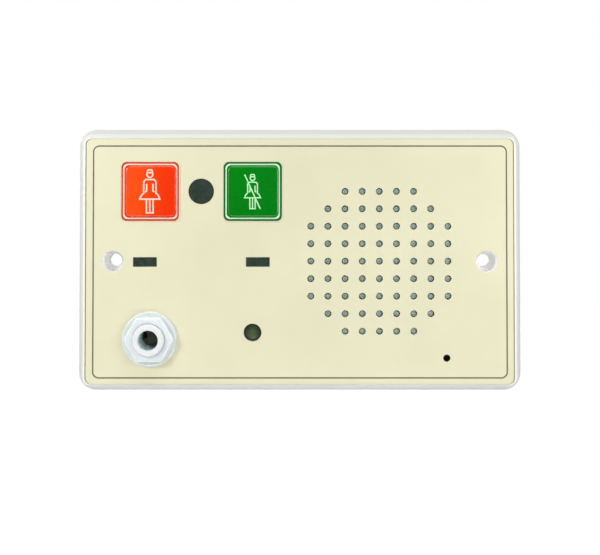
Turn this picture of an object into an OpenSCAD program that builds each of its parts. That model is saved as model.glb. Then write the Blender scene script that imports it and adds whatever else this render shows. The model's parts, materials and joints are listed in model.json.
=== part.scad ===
// Nurse call point: a double wall plate with a call key, a cancel key, a loudspeaker,
// a microphone, a round signal window, two indicator windows, a status lens and a hand unit socket.
// The model stands upright: X to the right, Z up, the front looks along -Y, the wall is the plane Y = 0.
// Inside the modules the plate lies flat: x to the right, y up, z out of the wall.

/* [Plate] */
// Width of the plate at the wall
plate_w = 146; // [144:0.5:150]
// Height of the plate at the wall
plate_h = 86; // [84:0.5:90]
// Depth from the wall to the front
plate_d = 10; // [9.5:0.1:11]
// Radius of the corners at the wall
corner_r = 5.6; // [5.3:0.1:6.5]
// Thickness of the face behind the label
face_t = 2.2; // [1.9:0.1:2.5]
// Thickness of the skirt round the face
skirt_t = 2; // [1.6:0.1:2.2]
// Height of the upright edge at the wall
edge_h = 0.8; // [0.5:0.1:1.5]
// Inset of the crease half way up the rim
crease_in = 1.8; // [1.5:0.1:2.1]
// Height of that crease above the wall
crease_z = 6.6; // [6:0.1:6.8]
// Inset of the rim where the front edge starts to round over
brow_in = 3; // [2.6:0.1:3.1]
// Radius of the front edge
brow_r = 0.3; // [0.2:0.05:0.35]

/* [Label] */
// Inset of the label from the sides of the plate
label_side_in = 4.15; // [4.05:0.1:4.85]
// Inset of the label from the top and the bottom of the plate
label_end_in = 3.55; // [3.55:0.05:4.2]
// Radius of the label's corners
label_r = 1.9; // [1.5:0.1:2.4]
// Thickness of the label
label_t = 0.3; // [0.2:0.05:0.4]
// Gap between the label and its recess above and below
label_gap = 0.1; // [0.05:0.01:0.12]
// Gap between the label and its recess at the sides
label_side_gap = 0.35; // [0.25:0.05:0.35]

/* [Wall screws] */
// Distance between the two screws
screw_centres = 120.6; // [120:0.1:121]
// Diameter of the screw holes
screw_hole_d = 4; // [3.6:0.1:4.4]
// Diameter of the pocket that takes the screw's head
screw_head_d = 7; // [6.6:0.1:7.4]
// Diameter of the screw bosses
boss_d = 10; // [9.6:0.1:10.4]
// Length of the bosses behind the face
boss_l = 5; // [4.5:0.1:5.6]
// Length of the plain hole behind the countersink
screw_land_l = 1.5; // [1.2:0.1:1.8]

/* [Keys] */
// Height of the keys above the centre, as a share of the plate's height
key_share = 0.2616; // [0.256:0.001:0.267]
// Place of the call key across the plate
call_x = -48.05; // [-48.5:0.05:-47.5]
// Place of the cancel key across the plate
cancel_x = -15.05; // [-15.5:0.05:-14.5]
// Width of the frame printed round a key
key_frame_w = 19; // [18.6:0.1:19.6]
// Width of that frame on each side of the key
key_frame_edge = 1.25; // [1.2:0.05:1.4]
// Thickness of the frame
key_frame_t = 0.2; // [0.15:0.01:0.3]
// Gap between the frame and its key
key_edge_gap = 0.15; // [0.12:0.01:0.25]
// Radius of a key's corners
key_r = 1.5; // [1.2:0.1:1.8]
// Radius of the edge round a key's front
key_edge_r = 0.6; // [0.4:0.05:0.7]
// Height of a key above its frame
key_proud = 0.75; // [0.72:0.01:1]
// Travel of a key
key_travel = 0.7; // [0.4:0.05:0.7]
// Reach of the flange that holds a key in, past the key on each side
key_flange_out = 1.1; // [0.9:0.1:1.2]
// Thickness of that flange
key_flange_t = 0.9; // [0.7:0.05:1]
// Wall of the hollow behind a key
key_wall_t = 1.5; // [1.2:0.1:1.8]
// Width of a switch
switch_w = 12; // [11:0.1:12.5]
// Height of a switch's housing
switch_h = 3.5; // [3.2:0.1:3.6]
// Diameter of a switch's plunger
plunger_d = 3.5; // [3.2:0.1:3.8]

/* [Windows] */
// Place of the round window across the plate
signal_x = -31.8; // [-32:0.05:-31.2]
// Diameter of the round window
signal_d = 8.2; // [7.8:0.1:8.6]
// Place of the left indicator window across the plate
left_window_x = -49.9; // [-50.4:0.05:-49.4]
// Place of the right indicator window across the plate
right_window_x = -13.5; // [-14:0.05:-13]
// Height of the indicator windows, below the centre of the plate
window_y = -0.25; // [-0.5:0.05:0]
// Width of an indicator window
window_w = 7.6; // [7.2:0.1:8]
// Height of an indicator window
window_h = 3; // [2.8:0.1:3.4]
// Margin of a window on the face
window_lap = 0.5; // [0.4:0.05:0.6]
// Place of the status lens across the plate
status_x = -15.2; // [-15.6:0.05:-14.8]
// Height of the status lens below the centre, as a share of the plate's height
status_share = 0.2669; // [0.262:0.001:0.272]
// Diameter of the opening in front of the status lens
status_d = 5.8; // [5.6:0.1:6.2]

/* [Socket] */
// Place of the socket across the plate
socket_x = -48.3; // [-49:0.05:-48.2]
// Height of the socket below the centre, as a share of the plate's height
socket_share = 0.2907; // [0.286:0.001:0.295]
// Diameter of the bore that takes the plug
socket_bore_d = 6.45; // [6.4:0.01:6.5]
// Diameter of the socket's bush
bush_d = 10.3; // [10:0.1:10.5]
// Height of the bush above the nut's flange
bush_proud = 3; // [2.6:0.1:3.4]
// Diameter of the nut's flange
nut_flange_d = 17.6; // [17.4:0.1:18.4]
// Thickness of the nut's flange
nut_flange_t = 1.2; // [1:0.1:1.5]
// Width of the nut across its flats
nut_af = 14; // [13.6:0.1:14.4]
// Height of the nut's hexagon above its flange
nut_hex_t = 1.7; // [1.4:0.1:2]
// Width of the socket's housing
socket_w = 17; // [16.6:0.1:17.4]
// Height of the socket's housing
socket_h = 15.6; // [15.2:0.1:16]
// Wall of the socket's housing
socket_wall_t = 1.7; // [1.5:0.1:1.9]
// Depth of the socket from its mouth to its end cap
socket_l = 31.2; // [31:0.1:32]
// Thickness of the end cap
end_cap_t = 1.5; // [1.2:0.1:1.8]

/* [Loudspeaker] */
// Place of the loudspeaker across the plate
speaker_x = 25.7; // [25.3:0.1:25.9]
// Diameter of the loudspeaker, less half the height of the plate
speaker_more_d = 9; // [8.6:0.1:9.2]
// Inset of the grille's outer columns from the loudspeaker's edge
grille_side_in = 3.88; // [3.8:0.01:4.4]
// Inset of the grille's top and bottom rows from the loudspeaker's edge
grille_end_in = 3.48; // [3.4:0.01:4]
// Diameter of the grille's holes
grille_hole_d = 2.25; // [2:0.05:2.4]
// Thickness of the cloth behind the grille
cloth_t = 0.3; // [0.2:0.05:0.4]
// Thickness of the loudspeaker's gasket
gasket_t = 0.8; // [0.6:0.1:1]
// Thickness of the loudspeaker's flange
flange_t = 0.8; // [0.7:0.1:1]
// Depth of the basket behind its flange
basket_l = 8.6; // [8.4:0.1:9.4]
// Inset of the cone's edge from the loudspeaker's edge
cone_in = 5.8; // [5.6:0.1:6.4]
// Radius of the voice coil's former
former_r = 6.5; // [6.4:0.1:6.8]
// Diameter of the magnet
magnet_d = 28; // [26:0.5:29]
// Thickness of the magnet
magnet_t = 6; // [5:0.1:7]
// Thickness of each steel plate of the magnet
pole_plate_t = 2; // [1.6:0.1:2.4]

/* [Microphone] */
// Place of the microphone across the plate
mic_x = 47.3; // [47:0.1:47.5]
// Height of the microphone above the lower edge of the plate
mic_rise = 11.9; // [11.9:0.1:12.4]
// Diameter of the hole in front of the microphone
mic_hole_d = 2.3; // [2:0.1:2.6]
// Diameter of the microphone's capsule
capsule_d = 9.7; // [9.2:0.1:9.8]
// Length of the capsule
capsule_l = 6.7; // [6:0.1:6.8]
// Wall of the rubber boot round the capsule
boot_t = 1.35; // [1.2:0.05:1.35]

/* [Circuit board] */
// Thickness of the circuit board
board_t = 1.6; // [1.2:0.1:1.8]
// Distance of the circuit board behind the face
board_gap = 6.3; // [6.2:0.05:6.5]
// Diameter of the posts that carry the circuit board
post_d = 6; // [5.6:0.1:6.2]
// Diameter of the small screws
small_screw_d = 2.2; // [2:0.1:2.4]
// Number of ways of the terminal block
terminal_ways = 6; // [4:1:6]
// Distance between the ways of the terminal block
terminal_step = 5.08; // [5:0.01:5.2]

/* [Hidden] */
$fn = 48;

// Overrun of every cut past the face that it leaves
cut = 1;
// Clearance of parts that sit in one another
fit_gap = 0.1;
// Radial clearance of a plunger and of a screw in its hole
slide_gap = 0.05;
// Gap of a held piece at rest in front of its stop
rest_gap = 0.3;

// Heights above the wall
front_z = plate_d;
land_z = front_z - label_t;
face_z = land_z - face_t;
bite = face_t / 2;
board_front_z = face_z - board_gap;
board_back_z = board_front_z - board_t;

// Rim and cavity of the plate
brow_z = plate_d - brow_r;
rim_rows = concat(
    [[0, 0], [0, edge_h], [crease_in, crease_z]],
    round_rows(brow_in, plate_d, brow_r, 30)
);
face_rise_share = (face_z - crease_z) / (brow_z - crease_z);
cavity_in = skirt_t + crease_in + (brow_in - crease_in) * face_rise_share;
cavity_rows = [
    [skirt_t, -cut], [skirt_t, edge_h], [skirt_t + crease_in, crease_z], [cavity_in, face_z]
];
label_w = plate_w - 2 * label_side_in;
label_h = plate_h - 2 * label_end_in;

// Wall screws
sink_l = (screw_head_d - screw_hole_d) / 2;
boss_z = face_z - boss_l;
boss_rib_t = 1.4;
boss_rib_l = 3.2;

// Keys
key_y = plate_h * key_share;
key_frame_in = key_frame_w - 2 * key_frame_edge;
key_w = key_frame_in - 2 * key_edge_gap;
key_flange_w = key_w + 2 * key_flange_out;
key_gap = 0.3;
aperture_w = key_w + 2 * key_gap;
flange_front_z = face_z - rest_gap;
flange_back_z = flange_front_z - key_flange_t;
key_seat_z = front_z - key_travel;
key_top_z = front_z + key_frame_t + key_proud;
hollow_z = key_seat_z - key_wall_t / 2;
key_rib_t = 1.2;
key_post_d = 4.4;
key_post_l = 0.4;
plunger_z = flange_back_z - key_post_l;
guide_gap = 0.3;
guide_t = 1;
guide_l = 2.1;
guide_w = key_flange_w + 2 * guide_gap;
switch_floor_t = 1.4;
switch_lid_t = 0.3;
switch_rivet_d = 1.2;
switch_leg_w = 1;
switch_leg_t = 0.3;
switch_leg_l = 2.6;

// Windows, lenses and lamps
status_y = -plate_h * status_share;
signal_hole_d = signal_d - 2 * window_lap;
receiver_w = 6.8;
receiver_h = 5.6;
receiver_l = 3.4;
guide_flange_t = 1;
lamp_w = 3.2;
lamp_h = 2.8;
lamp_l = 1.9;
lens_flange_w = 0.9;
lens_flange_t = 1;
lens_sink = 1;
lens_dome = 0.6;
status_lamp_d = 4.8;
status_lamp_l = 4.4;

// Socket
socket_y = -plate_h * socket_share;
bush_hole_d = bush_d + 5 * fit_gap;
bush_lip_r = 0.8;
bush_mouth_r = 0.15;
nut_z = front_z + nut_flange_t;
bush_front_z = nut_z + bush_proud;
socket_back_z = bush_front_z - socket_l;
chamber_w = socket_w - 2 * socket_wall_t;
chamber_h = socket_h - 2 * socket_wall_t;
socket_shoulder_t = 3.5;
chamber_z = face_z - socket_shoulder_t;
socket_edge_r = 1;
leaf_t = 0.4;
leaf_w = 3.2;
leaf_run = 6.5;
leaf_flare = 1.3;
leaf_tip_l = 2.2;
lug_l = 2.5;
tip_bend_u = 2.7;
ring_bend_u = 3;
sleeve_bend_u = 3.1;
tip_bend_z = -9.5;
ring_bend_z = -4;
sleeve_bend_z = 0.8;
cap_spigot_t = 1;
socket_rib_t = 1.2;
socket_rib_l = 2.5;

// Loudspeaker
grille_half = 4;
grille_clip = 2;
speaker_d = plate_h / 2 + speaker_more_d;
speaker_r = speaker_d / 2;
grille_step_x = (speaker_r - grille_side_in) / grille_half;
grille_step_y = (speaker_r - grille_end_in) / grille_half;
cone_r = speaker_r - cone_in;
speaker_rib_r = speaker_r + rest_gap;
speaker_rib_t = 1.2;
cloth_r = speaker_rib_r - fit_gap;
cloth_z = face_z - cloth_t;
gasket_z = cloth_z - gasket_t;
flange_z = gasket_z - flange_t;
basket_z = flange_z - basket_l;
basket_t = 0.8;
basket_rim_r = speaker_r - 1.25 * basket_t;
surround_lap = 1.8;
ledge_r = basket_rim_r - basket_t;
ledge_z = flange_z - 1.5 * basket_t;
roll_r = (ledge_r - surround_lap - cone_r) / 2;
roll_x = cone_r + roll_r;
skirt_top_r = ledge_r - surround_lap;
magnet_r = magnet_d / 2;
skirt_foot_r = magnet_r;
coil_gap = 0.3;
coil_t = 0.2;
former_t = 0.4;
pole_r = former_r - former_t - coil_gap;
pole_hole_r = former_r + coil_t + coil_gap;
spider_seat_w = 1.4;
spider_r = magnet_r - spider_seat_w;
spider_t = 0.3;
spider_z = basket_z + 2 * basket_t;
spider_waves = 3;
paper_t = 0.4;
cone_neck_z = spider_z + paper_t + 2 * spider_t + coil_gap;
cone_steps = 6;
cone_radii = [for (i = [0:cone_steps]) former_r + (cone_r - former_r) * i / cone_steps];
cap_r = cone_radii[1];
cap_h = 2.2;
roll_t = 0.3;
windows = 6;
window_turn = 38;
clamp_turns = [90, 210, 330];
clamp_post_bite = 0.5;
clamp_r = speaker_rib_r + speaker_rib_t + post_d / 2 - clamp_post_bite;
clamp_t = 1.2;
clamp_w = 7;
tag_turn = 22;
tag_t = 1.4;
tag_h = 1.6;
tag_lug_w = 1.6;
tag_lug_t = 0.4;
tag_lug_l = 2.2;
tag_step = 2.6;

// Microphone
mic_y = mic_rise - plate_h / 2;
boot_front_t = 0.6;
boot_d = capsule_d + 2 * boot_t;
mic_rib_t = 1.1;
mic_rib_l = 5;
mic_pad_t = 0.4;

// Circuit board
board_margin = 2.5;
board_left_x = boss_d / 2 - screw_centres / 2 + 2 * rest_gap;
board_right_x = speaker_x - speaker_rib_r - speaker_rib_t - board_margin;
board_share = 0.3837;
board_top_y = plate_h * board_share;
board_bottom_y = -board_top_y;
notch_gap = 1.6;
notch_x = socket_x + socket_w / 2 + notch_gap;
notch_y = socket_y + socket_h / 2 + notch_gap;
post_in = 4;
post_row_y = key_y - guide_w / 2 - guide_t - post_d / 2 - 2 * fit_gap;
post_top_y = board_top_y - post_d / 2 + rest_gap;
post_low_y = board_bottom_y + post_in;
posts = [
    [board_left_x + post_in, post_row_y],
    [signal_x, post_top_y],
    [board_right_x - post_in, post_row_y],
    [board_right_x - post_in, post_low_y],
    [notch_x + post_in, post_low_y]
];
pilot_d = small_screw_d + 2 * slide_gap;
pilot_l = 5.3;
screw_cap_d = 4.4;
screw_cap_t = 1.4;
screw_slot_w = 0.6;
screw_l = 4.8;

// Pieces on the circuit board
terminal_in = 23.5;
terminal_x = board_right_x - terminal_in;
terminal_y = 12;
terminal_h = 8.2;
terminal_l = 10;
wire_hole_w = 2.6;
wire_hole_l = 6;
terminal_screw_d = 3.4;
terminal_screw_t = 2;
terminal_well_l = 3.5;
chip_w = 10;
chip_t = 1.4;
chip_leg_w = 0.4;
chip_leg_l = 1;
chip_leg_t = 0.2;
chip_leg_step = 1;
controller_x = -31;
controller_y = -6;
amplifier_x = -21;
amplifier_y = -12.5;
amplifier_w = 4;
amplifier_h = 5;
amplifier_leg_step = 1.27;
can_d = 5;
can_h = 4.6;
can_base_t = 0.8;
can_places = [[-31, -17.5], [-24, -20]];
crystal_x = -18.5;
crystal_y = -5;
crystal_w = 10;
crystal_h = 4;
crystal_t = 3.4;
crystal_r = 1.5;
header_w = 4;
header_h = 7;
header_t = 4;
header_x = board_right_x - header_w / 2 - rest_gap;
speaker_header_y = -7;
mic_header_rise = 12.5;
mic_header_y = board_bottom_y + mic_header_rise;
socket_header_x = notch_x + header_w / 2 + post_in;
socket_header_y = -13;

// Leads: points chosen by hand, the first and the last stretch straight
wire_d = 1.1;
cable_d = 2;
wire_sides = 8;
wire_steps = 2;
clip_rise = 8.4;
clip_y = clip_rise - plate_h / 2;
clip_places = [[33, clip_y], [10, clip_y]];
clip_l = 4.2;
clip_t = 1;
clip_w = 3;
wire_step = 1.6;
lane_rise = 0.9;

plate_colour = "#f3f4f2";
label_colour = "#e7e4c6";
steel = "#b9bcc0";
dark = "#26282a";

// Points of a rounded front edge, from its side to its top
function round_rows(inset, top, r, step) =
    [for (a = [0:step:90]) [inset + r - r * cos(a), top - r + r * sin(a)]];

function reversed(list) = [for (i = [len(list) - 1:-1:0]) list[i]];
function polar(r, turn) = [r * cos(turn), r * sin(turn)];
function unit(v) = v / norm(v);

// Stands a lying piece upright against the wall
module upright() rotate([90, 0, 0]) children();

module at(x, y) translate([x, y, 0]) children();

// Block with rounded corners, whose edge follows rows of [inset, height] from rear to front
module edged_block(w, h, r, rows) {
    low = rows[0][1];
    high = rows[len(rows) - 1][1];
    half_x = w / 2 - r;
    half_y = h / 2 - r;
    outline = concat([[0, low]], [for (row = rows) [r - row[0], row[1]]], [[0, high]]);
    translate([-half_x, -half_y, low]) cube([2 * half_x, 2 * half_y, high - low]);
    for (side = [0:3]) {
        out = side % 2 == 0 ? half_x : half_y;
        along = side % 2 == 0 ? half_y : half_x;
        rotate([0, 0, 90 * side]) translate([out, along, 0]) {
            rotate([90, 0, 0]) linear_extrude(height = 2 * along) polygon(outline);
            rotate_extrude(angle = 90) polygon(outline);
        }
    }
}

module slab(w, h, r, low, high) edged_block(w, h, r, [[0, low], [0, high]]);

module disc(d, low, high) translate([0, 0, low]) cylinder(d = d, h = high - low);

module ring(outer_d, inner_d, low, high) difference() {
    disc(outer_d, low, high);
    disc(inner_d, low - cut, high + cut);
}

module block(w, h, low, high) {
    translate([-w / 2, -h / 2, low]) cube([w, h, high - low]);
}

module turned(rows) rotate_extrude() polygon(rows);

// Openings that the face and the label share
module shared_openings(low, high) {
    for (x = [call_x, cancel_x]) at(x, key_y) slab(aperture_w, aperture_w, key_r, low, high);
    at(status_x, status_y) disc(status_d, low, high);
    at(socket_x, socket_y) disc(bush_hole_d, low, high);
    at(mic_x, mic_y) disc(mic_hole_d, low, high);
    for (row = [-grille_half:grille_half]) {
        reach = min(grille_half, grille_half + grille_clip - abs(row));
        for (column = [-reach:reach]) {
            at(speaker_x + column * grille_step_x, row * grille_step_y)
                disc(grille_hole_d, low, high);
        }
    }
}

module wall_screw_place() {
    for (side = [-1, 1]) at(side * screw_centres / 2, 0) children();
}

module plate_shell() difference() {
    edged_block(plate_w, plate_h, corner_r, rim_rows);
    edged_block(plate_w, plate_h, corner_r, cavity_rows);
    slab(
        label_w + 2 * label_side_gap, label_h + 2 * label_gap, label_r + label_gap,
        land_z, front_z + cut
    );
}

module key_guide() difference() {
    block(guide_w + 2 * guide_t, guide_w + 2 * guide_t, face_z - guide_l, face_z + bite);
    block(guide_w, guide_w, face_z - guide_l - cut, face_z);
}

module clip() for (side = [-1, 1]) {
    translate([0, side * (cable_d + clip_t + 4 * fit_gap) / 2, 0])
        block(clip_w, clip_t, face_z - clip_l, face_z + bite);
}

module plate_ribs() {
    wall_screw_place() disc(boss_d, boss_z, face_z + bite);
    for (side = [-1, 1]) {
        at(side * (screw_centres + boss_d) / 2, 0)
            block(boss_d / 2, boss_rib_t, face_z - boss_rib_l, face_z + bite);
    }
    for (place = posts) at(place[0], place[1]) disc(post_d, board_front_z, face_z + bite);
    for (x = [call_x, cancel_x]) at(x, key_y) key_guide();
    at(speaker_x, 0) {
        difference() {
            disc(2 * (speaker_rib_r + speaker_rib_t), flange_z, face_z + bite);
            disc(2 * speaker_rib_r, flange_z - cut, face_z);
        }
        for (turn = clamp_turns) translate(polar(clamp_r, turn)) disc(post_d, flange_z, face_z + bite);
    }
    at(mic_x, mic_y) difference() {
        disc(boot_d + 2 * (fit_gap + mic_rib_t), face_z - mic_rib_l, face_z + bite);
        disc(boot_d + 2 * fit_gap, face_z - mic_rib_l - cut, face_z);
    }
    for (side = [-1, 1]) {
        at(socket_x + side * (socket_w / 2 + fit_gap + socket_rib_t / 2), socket_y)
            block(socket_rib_t, socket_h / 2, face_z - socket_rib_l, face_z + bite);
    }
    for (place = clip_places) at(place[0], place[1]) clip();
}

module face_plate() upright() color(plate_colour) difference() {
    union() {
        plate_shell();
        plate_ribs();
    }
    shared_openings(face_z - cut, front_z + cut);
    wall_screw_place() {
        disc(screw_hole_d, boss_z - cut, front_z + cut);
        translate([0, 0, boss_z + screw_land_l])
            cylinder(d1 = screw_hole_d, d2 = screw_head_d, h = sink_l);
        disc(screw_head_d, boss_z + screw_land_l + sink_l, front_z + cut);
    }
    at(signal_x, key_y) disc(signal_hole_d, face_z - cut, front_z + cut);
    for (x = [left_window_x, right_window_x]) {
        at(x, window_y)
            block(window_w - 2 * window_lap, window_h - 2 * window_lap, face_z - cut, front_z + cut);
    }
    for (place = posts) at(place[0], place[1]) disc(pilot_d, board_front_z - cut, board_front_z + pilot_l);
    at(speaker_x, 0) for (turn = clamp_turns) {
        translate(polar(clamp_r, turn)) disc(pilot_d, flange_z - cut, face_z + face_t / 3);
    }
}

module overlay_label() upright() color(label_colour) difference() {
    slab(label_w, label_h, label_r, land_z, front_z);
    shared_openings(land_z - cut, front_z + cut);
    wall_screw_place() disc(screw_head_d, land_z - cut, front_z + cut);
    at(signal_x, key_y) disc(signal_d + fit_gap, land_z - cut, front_z + cut);
    for (x = [left_window_x, right_window_x]) {
        at(x, window_y) block(window_w + fit_gap, window_h + fit_gap, land_z - cut, front_z + cut);
    }
}

// Printed frame round a key
module key_frame(x) upright() at(x, key_y) difference() {
    slab(key_frame_w, key_frame_w, key_r + key_frame_t, front_z, front_z + key_frame_t);
    slab(key_frame_in, key_frame_in, key_r, front_z - cut, front_z + key_frame_t + cut);
}

module call_key_frame() color("#c23118") key_frame(call_x);

module cancel_key_frame() color("#0b6a1f") key_frame(cancel_x);

// Key with a rounded front edge
module key(x) upright() at(x, key_y)
    edged_block(key_w, key_w, key_r, concat(
        [[0, key_seat_z]], round_rows(0, key_top_z, key_edge_r, 18)
    ));

module call_key() color("#fb561c") key(call_x);

module cancel_key() color("#0c801b") key(cancel_x);

// Carrier behind a key: head, flange, hollow with two ribs, and the post on the switch
module actuator(x) upright() color("#e9e9e6") at(x, key_y) {
    difference() {
        union() {
            slab(key_w, key_w, key_r, flange_front_z, key_seat_z);
            block(key_flange_w, key_flange_w, flange_back_z, flange_front_z);
        }
        block(key_w - 2 * key_wall_t, key_w - 2 * key_wall_t, flange_back_z - cut, hollow_z);
    }
    for (turn = [0, 90]) {
        rotate([0, 0, turn]) block(key_w - 2 * key_wall_t, key_rib_t, flange_back_z, hollow_z);
    }
    disc(key_post_d, plunger_z, hollow_z);
}

module call_actuator() actuator(call_x);

module cancel_actuator() actuator(cancel_x);

// Housing of a push switch: well for the plunger, four rivets and four legs
module switch_base(x) upright() color(dark) at(x, key_y) {
    difference() {
        block(switch_w, switch_w, board_front_z, board_front_z + switch_h);
        disc(
            plunger_d + 4 * slide_gap,
            board_front_z + switch_floor_t, board_front_z + switch_h + cut
        );
    }
    for (turn = [45:90:315]) {
        translate(polar(switch_w / 2, turn))
            disc(switch_rivet_d, board_front_z + switch_h, board_front_z + switch_h + switch_lid_t);
    }
    for (side = [-1, 1], end = [-1, 1]) {
        translate([side * (switch_w + switch_leg_t) / 2, end * switch_w / 4, 0])
            block(switch_leg_t, switch_leg_w, board_front_z, board_front_z + switch_leg_l);
    }
}

module call_switch_base() switch_base(call_x);

module cancel_switch_base() switch_base(cancel_x);

module switch_plunger(x) upright() color("#d8d8d2") at(x, key_y)
    disc(plunger_d, board_front_z + switch_floor_t + rest_gap + key_travel, plunger_z);

module call_switch_plunger() switch_plunger(call_x);

module cancel_switch_plunger() switch_plunger(cancel_x);

module signal_window() upright() color("#2c332e") at(signal_x, key_y) disc(signal_d, land_z, front_z);

// Infrared receiver with a round lens
module signal_receiver() upright() color("#1d1f22") at(signal_x, key_y) {
    block(receiver_w, receiver_h, board_front_z, board_front_z + receiver_l);
    intersection() {
        translate([0, 0, board_front_z + receiver_l]) sphere(d = receiver_h);
        disc(receiver_w, board_front_z + receiver_l, face_z);
    }
}

module indicator_window(x) upright() color("#2a322c") at(x, window_y)
    block(window_w, window_h, land_z, front_z);

module left_indicator_window() indicator_window(left_window_x);

module right_indicator_window() indicator_window(right_window_x);

// Clear guide from a lamp to its window, with a flange behind the face
module light_guide(x) upright() color("#dfe8ea") at(x, window_y) {
    block(
        window_w - 2 * window_lap - fit_gap, window_h - 2 * window_lap - fit_gap,
        board_front_z + lamp_l + fit_gap, land_z
    );
    block(window_w, window_h, face_z - guide_flange_t, face_z);
}

module left_light_guide() light_guide(left_window_x);

module right_light_guide() light_guide(right_window_x);

module indicator_lamp(x) upright() color("#efe9c8") at(x, window_y) {
    block(lamp_w, lamp_h, board_front_z, board_front_z + lamp_l / 2);
    block(lamp_w - lamp_h / 4, lamp_h - lamp_h / 4, board_front_z + lamp_l / 2, board_front_z + lamp_l);
}

module left_indicator_lamp() indicator_lamp(left_window_x);

module right_indicator_lamp() indicator_lamp(right_window_x);

// Domed lens, sunk in the face, with a flange behind it
module status_lens() upright() color("#3c4634") at(status_x, status_y) {
    lens_r = status_d / 2 - fit_gap;
    rim_z = land_z - lens_sink;
    ball_r = (lens_r * lens_r + lens_dome * lens_dome) / (2 * lens_dome);
    turned(concat(
        [[0, face_z - lens_flange_t], [lens_r + lens_flange_w, face_z - lens_flange_t]],
        [[lens_r + lens_flange_w, face_z], [lens_r, face_z]],
        [for (s = [6:-1:0]) [
            lens_r * s / 6,
            rim_z - ball_r + lens_dome + sqrt(ball_r * ball_r - pow(lens_r * s / 6, 2))
        ]]
    ));
}

module status_lamp() upright() color("#c8d6c2") at(status_x, status_y) {
    disc(status_lamp_d, board_front_z, board_front_z + status_lamp_l - status_lamp_d / 3);
    intersection() {
        translate([0, 0, board_front_z + status_lamp_l - status_lamp_d / 2]) sphere(d = status_lamp_d);
        disc(status_lamp_d, board_front_z + status_lamp_l - status_lamp_d / 3, face_z);
    }
}

// Flanged hexagonal nut with bevelled corners
module socket_nut() upright() color("#f6f7f8") at(socket_x, socket_y) {
    corner = nut_af / 2 / cos(30);
    bevel = corner - nut_af / 2;
    hex_z = nut_z + nut_hex_t;
    difference() {
        union() {
            turned([
                [0, front_z], [nut_flange_d / 2, front_z],
                [nut_flange_d / 2, nut_z - nut_flange_t / 3],
                [nut_flange_d / 2 - nut_flange_t / 2, nut_z], [0, nut_z]
            ]);
            intersection() {
                translate([0, 0, nut_z - nut_flange_t / 2])
                    cylinder(r = corner, h = nut_hex_t + nut_flange_t / 2, $fn = 6);
                turned([
                    [0, nut_z - nut_flange_t / 2], [corner + bevel, nut_z - nut_flange_t / 2],
                    [corner + bevel, hex_z - bevel], [nut_af / 2, hex_z], [0, hex_z]
                ]);
            }
        }
        disc(bush_d + 2 * slide_gap, front_z - cut, hex_z + cut);
    }
}

// Socket housing with its threaded bush; the chamber behind the bore is open at the rear
module socket_body() upright() color("#ebecee") at(socket_x, socket_y) difference() {
    union() {
        turned(concat(
            [[0, chamber_z], [bush_d / 2, chamber_z]],
            [for (a = [0:30:90]) [
                bush_d / 2 - bush_lip_r + bush_lip_r * cos(a),
                bush_front_z - bush_lip_r + bush_lip_r * sin(a)
            ]],
            [[0, bush_front_z]]
        ));
        slab(socket_w, socket_h, socket_edge_r, socket_back_z, face_z);
    }
    disc(socket_bore_d, chamber_z - cut, bush_front_z + cut);
    translate([0, 0, bush_front_z - bush_mouth_r])
        cylinder(d1 = socket_bore_d, d2 = socket_bore_d + 4 * bush_mouth_r, h = 2 * bush_mouth_r);
    block(chamber_w, chamber_h, socket_back_z - cut, chamber_z);
}

module socket_end_cap() upright() color("#dcdddf") at(socket_x, socket_y) difference() {
    union() {
        slab(socket_w, socket_h, socket_edge_r, socket_back_z - end_cap_t, socket_back_z);
        block(
            chamber_w - 4 * leaf_t, chamber_h - 4 * leaf_t,
            socket_back_z, socket_back_z + cap_spigot_t
        );
    }
    disc(socket_bore_d, socket_back_z, socket_back_z + cap_spigot_t + cut);
    for (turn = [0, 90, 180]) {
        wall = turn == 90 ? chamber_h / 2 : chamber_w / 2;
        rotate([0, 0, turn]) translate([wall - leaf_t / 2, 0, 0])
            block(leaf_t + 2 * fit_gap, leaf_w + 2 * fit_gap, socket_back_z - end_cap_t - cut, socket_back_z);
    }
}

// Leaf spring along the chamber wall at the given distance, bent in towards the plug
module leaf(turn, wall, bend_u, bend_z) {
    flat = wall - leaf_t;
    line = [
        [flat, socket_back_z - end_cap_t - lug_l], [flat, bend_z - leaf_run],
        [bend_u, bend_z], [bend_u + leaf_flare, bend_z + leaf_tip_l]
    ];
    upright() at(socket_x, socket_y) rotate([0, 0, turn])
        translate([0, leaf_w / 2, 0]) rotate([90, 0, 0]) linear_extrude(height = leaf_w)
            polygon(concat(line, reversed([for (p = line) [p[0] + leaf_t, p[1]]])));
}

module socket_tip_contact() color("#c9b778") leaf(0, chamber_w / 2, tip_bend_u, tip_bend_z);

module socket_ring_contact() color("#c9b778") leaf(180, chamber_w / 2, ring_bend_u, ring_bend_z);

module socket_sleeve_contact() color("#c9b778") leaf(90, chamber_h / 2, sleeve_bend_u, sleeve_bend_z);

module at_speaker() upright() at(speaker_x, 0) children();

module speaker_cloth() color("#4d5a52") at_speaker() disc(2 * cloth_r, cloth_z, face_z);

module speaker_gasket() color("#3a3a3c") at_speaker() ring(speaker_d, 2 * ledge_r, gasket_z, cloth_z);

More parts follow.
